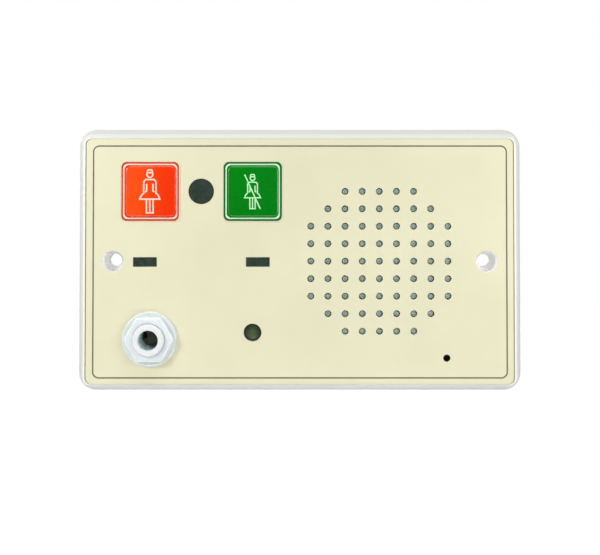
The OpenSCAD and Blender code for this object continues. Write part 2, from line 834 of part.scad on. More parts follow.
// Pressed basket: flange, ledge for the surround, windowed skirt, ledge for the spider
module speaker_basket() color("#8f9499") at_speaker() difference() {
    turned([
        [speaker_r, gasket_z], [speaker_r, flange_z], [basket_rim_r, flange_z],
        [basket_rim_r, ledge_z - basket_t], [skirt_top_r + basket_t, ledge_z - basket_t],
        [skirt_foot_r + basket_t, basket_z], [pole_hole_r, basket_z],
        [pole_hole_r, basket_z + basket_t], [spider_r, basket_z + basket_t],
        [spider_r, spider_z], [skirt_foot_r + basket_t, spider_z],
        [skirt_top_r, ledge_z], [ledge_r, ledge_z], [ledge_r, gasket_z]
    ]);
    for (i = [0:windows - 1]) {
        rotate([0, 0, (i + 0.5) * 360 / windows - window_turn / 2])
            rotate_extrude(angle = window_turn)
                translate([spider_r, spider_z + basket_t])
                    square([speaker_r, ledge_z - 2.5 * basket_t - spider_z]);
    }
}

// Half roll between the cone and the basket's ledge
module speaker_surround() color("#202124") at_speaker() {
    under_r = roll_r - roll_t / 2;
    over_r = roll_r + roll_t / 2;
    roll = [roll_x, ledge_z];
    turned(concat(
        [[cone_r - surround_lap / 2, ledge_z], [cone_r, ledge_z]],
        [for (a = [180:-20:0]) roll + polar(under_r, a)],
        [[skirt_top_r, ledge_z], [ledge_r - fit_gap, ledge_z]],
        [[ledge_r - fit_gap, ledge_z + roll_t], [skirt_top_r + roll_t / 2, ledge_z + roll_t]],
        [for (a = [20:20:160]) roll + polar(over_r, a)],
        [[cone_r - roll_t / 2, ledge_z + roll_t], [cone_r - surround_lap / 2, ledge_z + roll_t]]
    ));
}

// Height of the cone's front at a radius: the slope grows outwards
function cone_front_z(r) =
    cone_neck_z + (ledge_z - cone_neck_z) * pow((r - former_r) / (cone_r - former_r), 1.3);

module speaker_cone() color("#3b3d3f") at_speaker() turned(concat(
    [for (r = cone_radii) [r, cone_front_z(r)]],
    reversed([for (r = cone_radii) [r, cone_front_z(r) - paper_t]])
));

module speaker_dust_cap() color("#2a2b2d") at_speaker() {
    foot_z = cone_front_z(cap_r);
    ball_r = (cap_r * cap_r + cap_h * cap_h) / (2 * cap_h);
    inner_r = ball_r - paper_t;
    ball_z = foot_z + cap_h - ball_r;
    turned(concat(
        [for (s = [0:5]) [cap_r * s / 5, ball_z + sqrt(ball_r * ball_r - pow(cap_r * s / 5, 2))]],
        [for (s = [5:-1:0]) [
            (cap_r - paper_t) * s / 5,
            max(foot_z, ball_z + sqrt(inner_r * inner_r - pow((cap_r - paper_t) * s / 5, 2)))
        ]]
    ));
}

// Former with its winding in the magnet's gap
module speaker_voice_coil() color("#b0713a") at_speaker() {
    coil_low_z = basket_z - pole_plate_t - 2 * coil_gap;
    ring(2 * former_r, 2 * (former_r - former_t), coil_low_z, cone_neck_z);
    ring(2 * (former_r + coil_t), 2 * former_r, coil_low_z, basket_z + coil_gap);
}

// Corrugated disc that centres the voice coil
module speaker_spider() color("#c2a25a") at_speaker() {
    steps = 4 * spider_waves;
    low = former_r;
    high = spider_r;
    wave = [for (i = [0:steps]) [
        low + (high - low) * i / steps,
        spider_z + spider_t * sin(90 * i)
    ]];
    lap_r = spider_r + surround_lap / 2;
    turned(concat(
        wave, [[lap_r, spider_z], [lap_r, spider_z + spider_t]],
        reversed([for (p = wave) p + [0, spider_t]])
    ));
}

module speaker_top_plate() color(steel) at_speaker()
    ring(magnet_d - 2 * basket_t, 2 * pole_hole_r, basket_z - pole_plate_t, basket_z);

module speaker_magnet() color("#3f4144") at_speaker()
    ring(
        magnet_d, 2 * (pole_hole_r + 2 * basket_t),
        basket_z - pole_plate_t - magnet_t, basket_z - pole_plate_t
    );

module speaker_yoke() color(steel) at_speaker() {
    magnet_back_z = basket_z - pole_plate_t - magnet_t;
    turned([
        [0, magnet_back_z - pole_plate_t], [magnet_r - 2 * basket_t, magnet_back_z - pole_plate_t],
        [magnet_r - basket_t, magnet_back_z - pole_plate_t + basket_t],
        [magnet_r - basket_t, magnet_back_z], [pole_r, magnet_back_z],
        [pole_r, basket_z], [0, basket_z]
    ]);
}

// Tag strip on the basket's side, with two solder tags
module speaker_tags() color("#b08d57") at_speaker() {
    strip_low_z = flange_z - rest_gap - tag_h;
    rotate([0, 0, 180 - tag_turn / 2]) rotate_extrude(angle = tag_turn)
        translate([basket_rim_r, strip_low_z]) square([tag_t, tag_h]);
    for (side = [-1, 1]) {
        translate([-(basket_rim_r + tag_t / 2 + tag_lug_l / 2), side * tag_step / 2, 0])
            block(tag_lug_l, tag_lug_w, strip_low_z + tag_h / 2, strip_low_z + tag_h / 2 + tag_lug_t);
    }
}

// Straps that hold the flange against the face
module speaker_clamps() color("#c9ccd0") at_speaker() for (turn = clamp_turns) {
    rotate([0, 0, turn]) difference() {
        union() {
            translate([clamp_r, 0, 0]) disc(clamp_w, flange_z - clamp_t, flange_z);
            translate([(clamp_r + basket_rim_r + rest_gap) / 2, 0, 0])
                block(clamp_r - basket_rim_r - rest_gap, clamp_w - clamp_t, flange_z - clamp_t, flange_z);
        }
        translate([clamp_r, 0, 0])
            disc(small_screw_d + 2 * fit_gap, flange_z - clamp_t - cut, flange_z + cut);
    }
}

// Pan head screw that enters from the rear; its head seats at the given height
module small_screw(seat_z, length) difference() {
    union() {
        disc(small_screw_d, seat_z, seat_z + length);
        turned([
            [0, seat_z - screw_cap_t], [screw_cap_d / 3, seat_z - screw_cap_t],
            [screw_cap_d / 2, seat_z - screw_cap_t / 2], [screw_cap_d / 2, seat_z], [0, seat_z]
        ]);
    }
    for (turn = [0, 90]) rotate([0, 0, turn])
        block(screw_cap_d / 2, screw_slot_w, seat_z - screw_cap_t - cut, seat_z - screw_cap_t / 2);
}

module speaker_screws() color(steel) at_speaker() for (turn = clamp_turns) {
    translate(polar(clamp_r, turn))
        small_screw(flange_z - clamp_t, clamp_t + face_z - flange_z + face_t / 4);
}

module microphone_capsule() upright() color("#a9adb2") at(mic_x, mic_y) {
    front = face_z - boot_front_t - mic_pad_t;
    disc(capsule_d, front - capsule_l, front);
    disc(capsule_d - 2 * boot_t, front, front + mic_pad_t);
}

module microphone_boot() upright() color("#1f2022") at(mic_x, mic_y) {
    front = face_z - boot_front_t;
    difference() {
        disc(boot_d, front - mic_pad_t - capsule_l, face_z);
        disc(capsule_d, front - mic_pad_t - capsule_l - cut, front);
        disc(mic_hole_d, front - cut, face_z + cut);
    }
}

module circuit_board() upright() color("#2f6b45") difference() {
    translate([0, 0, board_back_z]) linear_extrude(height = board_t) polygon([
        [board_left_x, board_top_y], [board_right_x, board_top_y],
        [board_right_x, board_bottom_y], [notch_x, board_bottom_y],
        [notch_x, notch_y], [board_left_x, notch_y]
    ]);
    for (place = posts) {
        at(place[0], place[1])
            disc(small_screw_d + 4 * fit_gap, board_back_z - cut, board_front_z + cut);
    }
}

module board_screws() upright() color(steel) for (place = posts) {
    at(place[0], place[1]) small_screw(board_back_z, screw_l);
}

module terminal_ways_place() for (way = [0:terminal_ways - 1]) {
    at(terminal_x + (way - (terminal_ways - 1) / 2) * terminal_step, terminal_y) children();
}

// Terminal block for the wires from the wall, entries below and screws at the rear
module terminal_block() upright() color("#3f7f4f") difference() {
    at(terminal_x, terminal_y)
        block(terminal_ways * terminal_step, terminal_h, board_back_z - terminal_l, board_back_z);
    terminal_ways_place() {
        disc(
            terminal_screw_d + 2 * fit_gap,
            board_back_z - terminal_l - cut, board_back_z - terminal_l + terminal_well_l
        );
        translate([0, (wire_hole_l - terminal_h - cut) / 2, board_back_z - terminal_l / 3])
            cube([wire_hole_w, wire_hole_l + cut, wire_hole_w], center = true);
    }
}

module terminal_screws() upright() color(steel) terminal_ways_place() {
    top_z = board_back_z - terminal_l + terminal_well_l;
    difference() {
        disc(terminal_screw_d, top_z - terminal_screw_t, top_z);
        block(terminal_screw_d + cut, screw_slot_w, top_z - terminal_screw_t - cut, top_z - terminal_screw_t / 2);
    }
}

module legs(count, step, out) {
    for (side = [-1, 1], i = [0:count - 1]) {
        translate([side * (out + chip_leg_l / 2), (i - (count - 1) / 2) * step, 0])
            block(chip_leg_l, chip_leg_w, board_front_z, board_front_z + chip_leg_t);
    }
}

module controller_chip() upright() color(dark) at(controller_x, controller_y) {
    block(chip_w, chip_w, board_front_z, board_front_z + chip_t);
    for (turn = [0, 90]) rotate([0, 0, turn]) legs(8, chip_leg_step, chip_w / 2);
}

module amplifier_chip() upright() color(dark) at(amplifier_x, amplifier_y) {
    block(amplifier_w, amplifier_h, board_front_z, board_front_z + chip_t);
    legs(4, amplifier_leg_step, amplifier_w / 2);
}

// Can capacitors on square bases
module capacitors() upright() color("#9fa6ad") for (place = can_places) at(place[0], place[1]) {
    block(can_d + can_base_t / 2, can_d + can_base_t / 2, board_front_z, board_front_z + can_base_t);
    disc(can_d, board_front_z + can_base_t, board_front_z + can_h);
}

module crystal() upright() color("#c4c7ca") at(crystal_x, crystal_y)
    slab(crystal_w, crystal_h, crystal_r, board_front_z, board_front_z + crystal_t);

module lead_headers() upright() color("#e8e6da") {
    for (y = [speaker_header_y, mic_header_y]) {
        at(header_x, y) block(header_w, header_h, board_front_z, board_front_z + header_t);
    }
    at(socket_header_x, socket_header_y)
        block(header_w, header_h, board_back_z - header_t, board_back_z);
}

// Smooth path through the inner points of a route; its first and last stretch stay straight
function mix(a, b, c, d, t) = 0.5 * (
    2 * b + (c - a) * t + (2 * a - 5 * b + 4 * c - d) * t * t + (3 * b - a - 3 * c + d) * t * t * t
);
function smooth_path(route) = concat(
    [route[0]],
    [for (i = [1:len(route) - 3], s = [0:wire_steps - 1])
        mix(route[i - 1], route[i], route[i + 1], route[i + 2], s / wire_steps)],
    [route[len(route) - 2], route[len(route) - 1]]
);
function heading(path, i) = unit(
    path[min(i + 1, len(path) - 1)] - path[max(i - 1, 0)]
);
function sides(path, i) = let (
    way = heading(path, i),
    before = i == 0 ? (abs(way[2]) > 0.9 ? [1, 0, 0] : [0, 0, 1]) : sides(path, i - 1)
) unit(before - (before * way) * way);

// Tube of the given diameter along a path
module tube(route, d) {
    path = smooth_path(route);
    last = len(path) - 1;
    points = [for (i = [0:last]) let (
        across = sides(path, i),
        up = cross(heading(path, i), across)
    ) for (k = [0:wire_sides - 1]) let (turn = 360 * k / wire_sides)
        path[i] + d / 2 * (across * cos(turn) + up * sin(turn))];
    walls = [for (i = [0:last - 1], k = [0:wire_sides - 1], half = [0, 1]) let (
        next = (k + 1) % wire_sides,
        a = i * wire_sides
    ) half == 0 ? [a + k, a + wire_sides + k, a + next]
        : [a + next, a + wire_sides + k, a + wire_sides + next]];
    ends = [
        [for (k = [0:wire_sides - 1]) k],
        [for (k = [wire_sides - 1:-1:0]) last * wire_sides + k]
    ];
    polyhedron(points, concat(walls, ends));
}

// Two wires from the header to the tags: the one for the near tag takes the upper lane
module speaker_lead() upright() color("#8a2f2b") {
    start_x = header_x + header_w / 2;
    goal_x = speaker_x - basket_rim_r - tag_t - tag_lug_l;
    goal_z = flange_z - rest_gap - tag_h / 2 + tag_lug_t / 2;
    lane_x = (start_x + goal_x) / 2;
    for (side = [-1, 1]) {
        start = [start_x, speaker_header_y, board_front_z + header_t / 2 - side * lane_rise];
        goal = [goal_x + tag_t / 2, side * tag_step / 2, goal_z];
        tube([
            start, start + [wire_d, 0, 0],
            [lane_x, (start[1] + goal[1]) / 2, start[2]],
            [lane_x, goal[1] - wire_d, (start[2] + goal_z) / 2],
            goal - [wire_d, 0, 0], goal
        ], wire_d);
    }
}

module microphone_lead() upright() color("#4b4d50") {
    start_z = face_z - boot_front_t - mic_pad_t - capsule_l;
    header_side_x = header_x + header_w / 2;
    lane_z = face_z - clip_l + cable_d / 2;
    tube([
        [mic_x, mic_y, start_z], [mic_x, mic_y, start_z - cable_d],
        [mic_x - 2 * cable_d, mic_y - 0.15 * cable_d, start_z - 1.3 * cable_d],
        [mic_x - 4 * cable_d, mic_y - 0.6 * cable_d, start_z - 0.3 * cable_d],
        [clip_places[0][0] + clip_w, clip_places[0][1], lane_z],
        [clip_places[0][0] - clip_w, clip_places[0][1], lane_z],
        [(clip_places[0][0] + clip_places[1][0]) / 2, clip_y, lane_z],
        [clip_places[1][0] + clip_w, clip_places[1][1], lane_z],
        [clip_places[1][0] - clip_w, clip_places[1][1], lane_z],
        [clip_places[1][0] - 2.9 * cable_d, clip_y + 0.2 * cable_d, lane_z],
        [clip_places[1][0] - 4.5 * cable_d, clip_y + 1.8 * cable_d, lane_z],
        [header_side_x + 1.5 * cable_d, mic_header_y - 0.75 * cable_d, board_front_z + header_t / 2],
        [header_side_x + cable_d / 2, mic_header_y, board_front_z + header_t / 2],
        [header_side_x, mic_header_y, board_front_z + header_t / 2]
    ], cable_d);
}

// Three wires from the contacts, over the edge of the housing, to the header behind the board
module socket_lead() upright() color("#6a4f8c") {
    lug_z = socket_back_z - end_cap_t - lug_l;
    goal_x = socket_header_x - header_w / 2;
    goal_z = board_back_z - header_t / 2;
    edge_x = socket_x + socket_w / 2 + notch_gap;
    starts = [
        [socket_x, socket_y + chamber_h / 2 - leaf_t / 2],
        [socket_x - chamber_w / 2 + leaf_t / 2, socket_y],
        [socket_x + chamber_w / 2 - leaf_t / 2, socket_y]
    ];
    for (i = [0:2]) {
        start = [starts[i][0], starts[i][1], lug_z];
        goal = [goal_x, socket_header_y + (1 - i) * wire_step, goal_z];
        edge = [edge_x, goal[1] - wire_step, socket_back_z];
        tube([
            start, start - [0, 0, wire_d],
            [(start[0] + edge[0]) / 2, (start[1] + edge[1]) / 2, lug_z - wire_d],
            edge,
            [edge_x, goal[1], (edge[2] + goal_z) / 2],
            goal - [wire_d, 0, 0], goal
        ], wire_d);
    }
}

face_plate();
overlay_label();
call_key_frame();
cancel_key_frame();
call_key();
cancel_key();
call_actuator();
cancel_actuator();
call_switch_base();
cancel_switch_base();
call_switch_plunger();
cancel_switch_plunger();
signal_window();
signal_receiver();
left_indicator_window();
right_indicator_window();
left_light_guide();
right_light_guide();
left_indicator_lamp();
right_indicator_lamp();
status_lens();
status_lamp();
socket_nut();
socket_body();
socket_end_cap();
socket_tip_contact();
socket_ring_contact();
socket_sleeve_contact();
speaker_cloth();
speaker_gasket();
speaker_basket();
speaker_surround();
speaker_cone();
speaker_dust_cap();
speaker_voice_coil();
speaker_spider();
speaker_top_plate();
speaker_magnet();
speaker_yoke();
speaker_tags();
speaker_clamps();
speaker_screws();
microphone_capsule();
microphone_boot();
circuit_board();
board_screws();
terminal_block();
terminal_screws();
controller_chip();
amplifier_chip();
capacitors();
crystal();
lead_headers();
speaker_lead();
microphone_lead();
socket_lead();
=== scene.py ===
"""Looks of the nurse call point: finishes, printed marks, keys, leads, board detail, light and camera."""
import json
import math
import bpy
import numpy as np
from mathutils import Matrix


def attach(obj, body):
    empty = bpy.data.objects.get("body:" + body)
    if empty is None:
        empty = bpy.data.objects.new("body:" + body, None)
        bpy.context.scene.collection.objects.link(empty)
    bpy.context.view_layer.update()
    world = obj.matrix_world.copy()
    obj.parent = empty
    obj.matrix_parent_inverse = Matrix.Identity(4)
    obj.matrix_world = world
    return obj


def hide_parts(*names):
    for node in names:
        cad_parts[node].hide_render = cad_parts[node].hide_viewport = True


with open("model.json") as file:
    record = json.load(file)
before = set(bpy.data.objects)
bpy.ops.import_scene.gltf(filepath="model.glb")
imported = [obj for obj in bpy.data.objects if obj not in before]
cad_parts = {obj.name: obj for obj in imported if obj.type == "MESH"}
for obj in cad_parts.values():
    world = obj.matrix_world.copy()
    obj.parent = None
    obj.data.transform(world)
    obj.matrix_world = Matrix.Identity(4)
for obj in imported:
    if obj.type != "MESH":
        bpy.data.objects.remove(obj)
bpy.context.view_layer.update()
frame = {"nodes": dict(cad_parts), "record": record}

MM = 0.001
scene = bpy.context.scene
SLOT_OF = {part["node"]: part["material_slot"] for part in frame["record"]["subparts"]}

# Places in millimetres as the plate lies: x to the right, y up, z out of the wall.
# The plate's front, the land under its label, the back of its face, the crease of its rim, and how deep
# the painted light in the screw pockets goes
FRONT_Z = 10.0
LAND_Z = 9.7
FACE_Z = 7.5
CREASE_Z = 6.6
POCKET_Z = 4.0
KEY_Y = 22.5
CALL_X = -48.05
CANCEL_X = -15.05
SIGNAL_X = -31.8
STATUS = (-15.2, -22.95)
SOCKET = (-48.3, -25.0)
SPEAKER = (25.7, 0.0)
MICROPHONE = (47.3, -31.1)
SCREW_X = 60.3
LABEL_HALF = (68.85, 39.45)
HEADER_X = -6.6
TERMINAL_X = -27.8
SOCKET_HEADER_X = -32.2
BOARD_FRONT_Z = 1.2
BOARD_BACK_Z = -0.4
NUT_BORE_R = 5.25
NUT_FLAT_R = 7.0
NUT_CORNER_R = 7.86
NUT_SEAT_Z = 11.2
NUT_TOP_Z = 12.9
NUT_FLANGE_R = 8.8
NUT_EDGE = 0.5


# Shapes

def upright(points):
    """Plate places (x, y, z) in millimetres become the frame's (x, -z, y) in metres."""
    p = np.asarray(points, float)
    return np.stack([p[..., 0], -p[..., 2], p[..., 1]], -1) * MM


def piece(name, vertices, faces, body, finish, replaced=(), sharp=40, material=None):
    """Mesh of plate places, riding on a body.
    A closed form whose faces enclose a negative volume is turned out."""
    placed = upright(vertices)
    faces = [list(map(int, face)) for face in faces]
    a = np.array([placed[f[0]] for f in faces])
    b = np.array([placed[f[1]] for f in faces])
    c = np.array([placed[f[2]] for f in faces])
    middle = placed.mean(0)
    if np.einsum("ij,ij->i", a - middle, np.cross(b - middle, c - middle)).sum() < 0:
        faces = [face[::-1] for face in faces]
    mesh = bpy.data.meshes.new(name)
    mesh.from_pydata(placed.tolist(), [], faces)
    mesh.polygons.foreach_set("use_smooth", np.ones(len(mesh.polygons), bool))
    mesh.set_sharp_from_angle(angle=math.radians(sharp))
    made = bpy.data.objects.new(name, mesh)
    scene.collection.objects.link(made)
    mesh.materials.append(material or finishes[finish])
    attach(made, body)
    if replaced:
        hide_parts(*replaced)
    return made


def joined(forms):
    """Several (vertices, faces) as one."""
    vertices, faces, count = [], [], 0
    for points, corners in forms:
        points = np.asarray(points, float).reshape(-1, 3)
        vertices.append(points)
        faces += [[corner + count for corner in face] for face in corners]
        count += len(points)
    return np.vstack(vertices), faces


def ring_form(rings):
    """Closed form: point (i, j) is ring i at column j; quads join the rings, and a fan closes each end."""
    rings = np.asarray(rings, float)
    count, columns = rings.shape[:2]
    index = np.arange(count * columns).reshape(count, columns)
    after = np.roll(index, -1, axis=1)
    quads = np.stack([index[:-1], after[:-1], after[1:], index[1:]], -1).reshape(-1, 4)
    low, high = count * columns, count * columns + 1
    fans = np.vstack([
        np.stack([after[0], index[0], np.full(columns, low)], -1),
        np.stack([index[-1], after[-1], np.full(columns, high)], -1),
    ])
    vertices = np.vstack([rings.reshape(-1, 3), rings[[0, -1]].mean(1)])
    return vertices, quads.tolist() + fans.tolist()


def loop_form(rings):
    """Closed form without ends: the last ring joins the first, and the last column the first."""
    rings = np.asarray(rings, float)
    count, columns = rings.shape[:2]
    index = np.arange(count * columns).reshape(count, columns)
    after = np.roll(index, -1, axis=1)
    beyond = np.roll(index, -1, axis=0)
    corner = np.roll(after, -1, axis=0)
    quads = np.stack([index, after, corner, beyond], -1).reshape(-1, 4)
    return rings.reshape(-1, 3), quads.tolist()


def turned_ring(profile, centre, columns=96):
    """Turned form: profile point (r, z) goes to (cx + r cos u, cy + r sin u, z) for u round the circle."""
    profile = np.asarray(profile, float)
    turn = np.linspace(0, 2 * math.pi, columns, endpoint=False)
    r, z = profile[:, 0][:, None], profile[:, 1][:, None]
    return np.stack([
        centre[0] + r * np.cos(turn), centre[1] + r * np.sin(turn), z + 0 * turn
    ], -1)


def arc(centre, r, start, end, count):
    """Points centre + r (cos t, sin t), t from start to end in degrees."""
    turn = np.radians(np.linspace(start, end, count))
    return np.stack([centre[0] + r * np.cos(turn), centre[1] + r * np.sin(turn)], -1)


def rounded_outline(half_x, half_y, r, arc_points=8, side_points=12):
    """Rounded rectangle, anticlockwise: a quarter circle at each corner and even steps along each side."""
    corners = [(half_x - r, half_y - r, 0), (r - half_x, half_y - r, 90),
               (r - half_x, r - half_y, 180), (half_x - r, r - half_y, 270)]
    bends = [arc((x, y), r, turn, turn + 90, arc_points) for x, y, turn in corners]
    share = np.linspace(0, 1, side_points + 2)[1:-1, None]
    parts = []
    for here, following in zip(bends, bends[1:] + bends[:1]):
        parts += [here, here[-1] + (following[0] - here[-1]) * share]
    return np.vstack(parts)


def spaced(points, step, closed=False):
    """Points along straight stretches, no further apart than step."""
    points = np.asarray(points, float)
    ends = np.vstack([points, points[:1]]) if closed else points
    parts = []
    for a, b in zip(ends[:-1], ends[1:]):
        count = max(1, int(math.ceil(np.linalg.norm(b - a) / step)))
        parts.append(a + (b - a) * np.arange(count)[:, None] / count)
    if not closed:
        parts.append(ends[-1:])
    return np.vstack(parts)


def mitred_sides(points, width, closed=False):
    """Left and right edges of a band.
    Each point moves by half the width along its mitre, (n1 + n2) / (1 + n1.n2)."""
    points = np.asarray(points, float)
    steps = np.diff(np.vstack([points, points[:1]]) if closed else points, axis=0)
    normals = np.stack([-steps[:, 1], steps[:, 0]], -1) / np.linalg.norm(steps, axis=1)[:, None]
    if closed:
        before, after = np.roll(normals, 1, axis=0), normals
    else:
        before = np.vstack([normals[:1], normals])
        after = np.vstack([normals, normals[-1:]])
    share = 1 + np.sum(before * after, axis=1)
    mitre = (before + after) / np.maximum(share, 0.4)[:, None]
    return points + mitre * width / 2, points - mitre * width / 2


def band_form(points, width, low, high, closed=False):
    """Flat band along points: a section of four corners, from low(x, y) to high(x, y), at each of them."""
    left, right = mitred_sides(points, width, closed)
    sections = np.stack([
        np.column_stack([left, low(left[:, 0], left[:, 1])]),
        np.column_stack([right, low(right[:, 0], right[:, 1])]),
        np.column_stack([right, high(right[:, 0], right[:, 1])]),
        np.column_stack([left, high(left[:, 0], left[:, 1])]),
    ], 1)
    return loop_form(sections) if closed else ring_form(sections)


def smooth_route(route, steps=10):
    """Catmull-Rom line through the inner points of a route; its first and last stretch stay straight."""
    p = np.asarray(route, float)
    share = np.arange(steps)[:, None] / steps
    parts = [p[:1]]
    for i in range(1, len(p) - 2):
        a, b, c, d = p[i - 1], p[i], p[i + 1], p[i + 2]
        parts.append(0.5 * (
            2 * b + (c - a) * share + (2 * a - 5 * b + 4 * c - d) * share ** 2
            + (3 * b - a - 3 * c + d) * share ** 3
        ))
    return np.vstack(parts + [p[-2:]])


def tube_form(path, d, sides=14):
    """Tube: a circle of that diameter across the heading at each path point.
    The frame that it is drawn in is carried along without a turn."""
    path = np.asarray(path, float)
    ways = np.gradient(path, axis=0)
    ways /= np.linalg.norm(ways, axis=1)[:, None]
    across = np.array([1.0, 0, 0]) if abs(ways[0][2]) > 0.9 else np.array([0, 0, 1.0])
    frames = []
    for way in ways:
        across = across - (across @ way) * way
        across = across / np.linalg.norm(across)
        frames.append((across, np.cross(way, across)))
    a, b = (np.array([pair[k] for pair in frames])[:, None, :] for k in (0, 1))
    turn = np.linspace(0, 2 * math.pi, sides, endpoint=False)[None, :, None]
    return ring_form(path[:, None, :] + d / 2 * (a * np.cos(turn) + b * np.sin(turn)))


def dome_form(place, r, height, z, side, columns, rows, waist=0.0):
    """Dome on the plane z: radius r cos t (1 - w sin 2t) for a waist w, and height side x h sin t.
    The turn t goes from 0 to just under a right angle, where a small flat closes the top."""
    t = np.linspace(0, math.pi / 2 * 0.96, rows)
    radius = r * np.cos(t) * (1 - waist * np.sin(2 * t))
    turn = np.linspace(0, 2 * math.pi, columns, endpoint=False)
    return ring_form(np.stack([
        place[0] + radius[:, None] * np.cos(turn), place[1] + radius[:, None] * np.sin(turn),
        z + side * height * np.sin(t)[:, None] + 0 * turn
    ], -1))


def soft_block(place, w, h, low, high, edge, r):
    """Block with a rounded rectangle as its outline and a small chamfer between its sides and its faces."""
    rows = [(edge, low), (0, low + edge), (0, high - edge), (edge, high)]
    rings = []
    for inset, z in rows:
        line = rounded_outline(w / 2 - inset, h / 2 - inset, max(r - inset / 2, 0.03), 4, 1)
        rings.append(np.column_stack([line + place, np.full(len(line), z)]))
    return ring_form(rings)


# Finishes

def colour_of(rgb):
    """Written colour, 0 to 255 a channel, as the linear colour that a shader takes."""
    c = np.asarray(rgb, float) / 255
    lin = np.where(c <= 0.04045, c / 12.92, ((c + 0.055) / 1.055) ** 2.4)
    return (*map(float, lin), 1.0)


def shade_of(rgb, factor):
    """Written colour made darker or lighter by a factor, each channel kept from 0 to 255."""
    return tuple(min(255, max(0, channel * factor)) for channel in rgb)


class Finish:
    """Node material. All its patterns read Object coordinates, scaled here to millimetres."""

    def __init__(self, name, rgb, rough, metal=0.0, **fixed):
        self.material = bpy.data.materials.new(name)
        self.material.use_nodes = True
        self.tree = self.material.node_tree
        self.shader = self.tree.nodes["Principled BSDF"]
        self.rgb = rgb
        self.shader.inputs["Base Color"].default_value = colour_of(rgb)
        self.shader.inputs["Roughness"].default_value = rough
        self.shader.inputs["Metallic"].default_value = metal
        for socket, value in fixed.items():
            self.shader.inputs[socket.replace("_", " ")].default_value = value
        coordinates = self.tree.nodes.new("ShaderNodeTexCoord")
        self.place = self.vector("SCALE", coordinates.outputs["Object"], scale=1 / MM)
        self.normal = None

    def link(self, source, socket):
        """Feeds a socket from another node, or gives it a constant."""
        if isinstance(source, bpy.types.NodeSocket):
            self.tree.links.new(source, socket)
        elif source is not None:
            socket.default_value = source

    def math(self, operation, a, b=None, c=None):
        node = self.tree.nodes.new("ShaderNodeMath")
        node.operation = operation
        for source, socket in zip((a, b, c), node.inputs):
            self.link(source, socket)
        return node.outputs[0]

    def vector(self, operation, a, b=None, scale=None):
        node = self.tree.nodes.new("ShaderNodeVectorMath")
        node.operation = operation
        self.link(a, node.inputs[0])
        self.link(b, node.inputs[1])
        if scale is not None:
            node.inputs["Scale"].default_value = scale
        return node.outputs["Value" if operation in ("LENGTH", "DOT_PRODUCT") else "Vector"]

    def axis(self, letter):
        """One coordinate of the place in millimetres. The object's X is the plate's x, Y is -z and Z is y."""
        node = self.tree.nodes.new("ShaderNodeSeparateXYZ")
        self.link(self.place, node.inputs[0])
        return node.outputs[letter]

    def noise(self, size, detail=2.0, stretch=(1, 1, 1)):
        """Cloudy field whose grain is about size millimetres."""
        node = self.tree.nodes.new("ShaderNodeTexNoise")
        node.inputs["Scale"].default_value = 1 / size
        node.inputs["Detail"].default_value = detail
        self.link(self.vector("MULTIPLY", self.place, stretch), node.inputs["Vector"])
        return node.outputs[0]

    def span(self, value, low, high, to_low=0.0, to_high=1.0):
        """Value from low to high becomes to_low to to_high, and stays within them."""
        node = self.tree.nodes.new("ShaderNodeMapRange")
        self.link(value, node.inputs["Value"])
        for socket, number in (("From Min", low), ("From Max", high),
                               ("To Min", to_low), ("To Max", to_high)):
            node.inputs[socket].default_value = number
        return node.outputs[0]

    def within(self, distance, limit, blend):
        """Share that is 1 up to a limit of the distance, and 0 from a blend beyond it."""
        return self.span(distance, limit, limit + blend, 1, 0)

    def before(self, z, blend):
        """Share that is 1 out from z, and 0 from a blend behind it."""
        return self.within(self.axis("Y"), -z, blend)

    def behind(self, z, blend):
        """Share that is 0 out from z, and 1 from a blend behind it."""
        return self.span(self.axis("Y"), -z, blend - z)

    def all_of(self, *shares):
        """Product of several shares."""
        whole = shares[0]
        for share in shares[1:]:
            whole = self.math("MULTIPLY", whole, share)
        return whole

    def mixed(self, share, first, second):
        """Colour between two, each written 0 to 255 or taken from another node."""
        node = self.tree.nodes.new("ShaderNodeMix")
        node.data_type = "RGBA"
        self.link(share, node.inputs[0])
        for source, socket in ((first, node.inputs[6]), (second, node.inputs[7])):
            self.link(colour_of(source) if isinstance(source, tuple) else source, socket)
        return node.outputs[2]

    def colour(self, source):
        self.link(source, self.shader.inputs["Base Color"])

    def lay_tone(self, share, tone):
        """Lays a tone over the colour made so far, as strongly as the share says; it carries print, real
        colour changes and painted light and shade alike.
        """
        self.colour(self.mixed(share, self.shader.inputs["Base Color"].links[0].from_socket, tone))

    def roughness(self, field, low, high):
        self.link(self.span(field, 0.3, 0.7, low, high), self.shader.inputs["Roughness"])

    def bump(self, field, depth):
        """Relief of the field, depth millimetres high, on top of any before it."""
        node = self.tree.nodes.new("ShaderNodeBump")
        node.inputs["Distance"].default_value = depth * MM
        self.link(field, node.inputs["Height"])
        self.link(self.normal, node.inputs["Normal"])
        self.normal = node.outputs[0]
        self.link(self.normal, self.shader.inputs["Normal"])

    def mottle(self, size, share):
        """Colour that drifts by the given share either way over patches of that size."""
        field = self.span(self.noise(size, 3.0), 0.3, 0.7)
        self.colour(self.mixed(field, shade_of(self.rgb, 1 - share), shade_of(self.rgb, 1 + share)))

    def from_axis(self, centre):
        """Distance in the plate's plane from a point (x, y)."""
        offset = self.vector("SUBTRACT", self.place, (centre[0], 0, centre[1]))
        return self.vector("LENGTH", self.vector("MULTIPLY", offset, (1, 0, 1)))

    def from_outline(self, centre, half_x, half_y, r):
        """Distance outside a rounded rectangle in the plate's plane; below 0 within r of its inside."""
        offset = self.vector("SUBTRACT", self.place, (centre[0], 0, centre[1]))
        offset = self.vector("MULTIPLY", self.vector("ABSOLUTE", offset), (1, 0, 1))
        beyond = self.vector("SUBTRACT", offset, (half_x - r, 0, half_y - r))
        beyond = self.vector("MAXIMUM", beyond, (0, 0, 0))
        return self.math("SUBTRACT", self.vector("LENGTH", beyond), r)

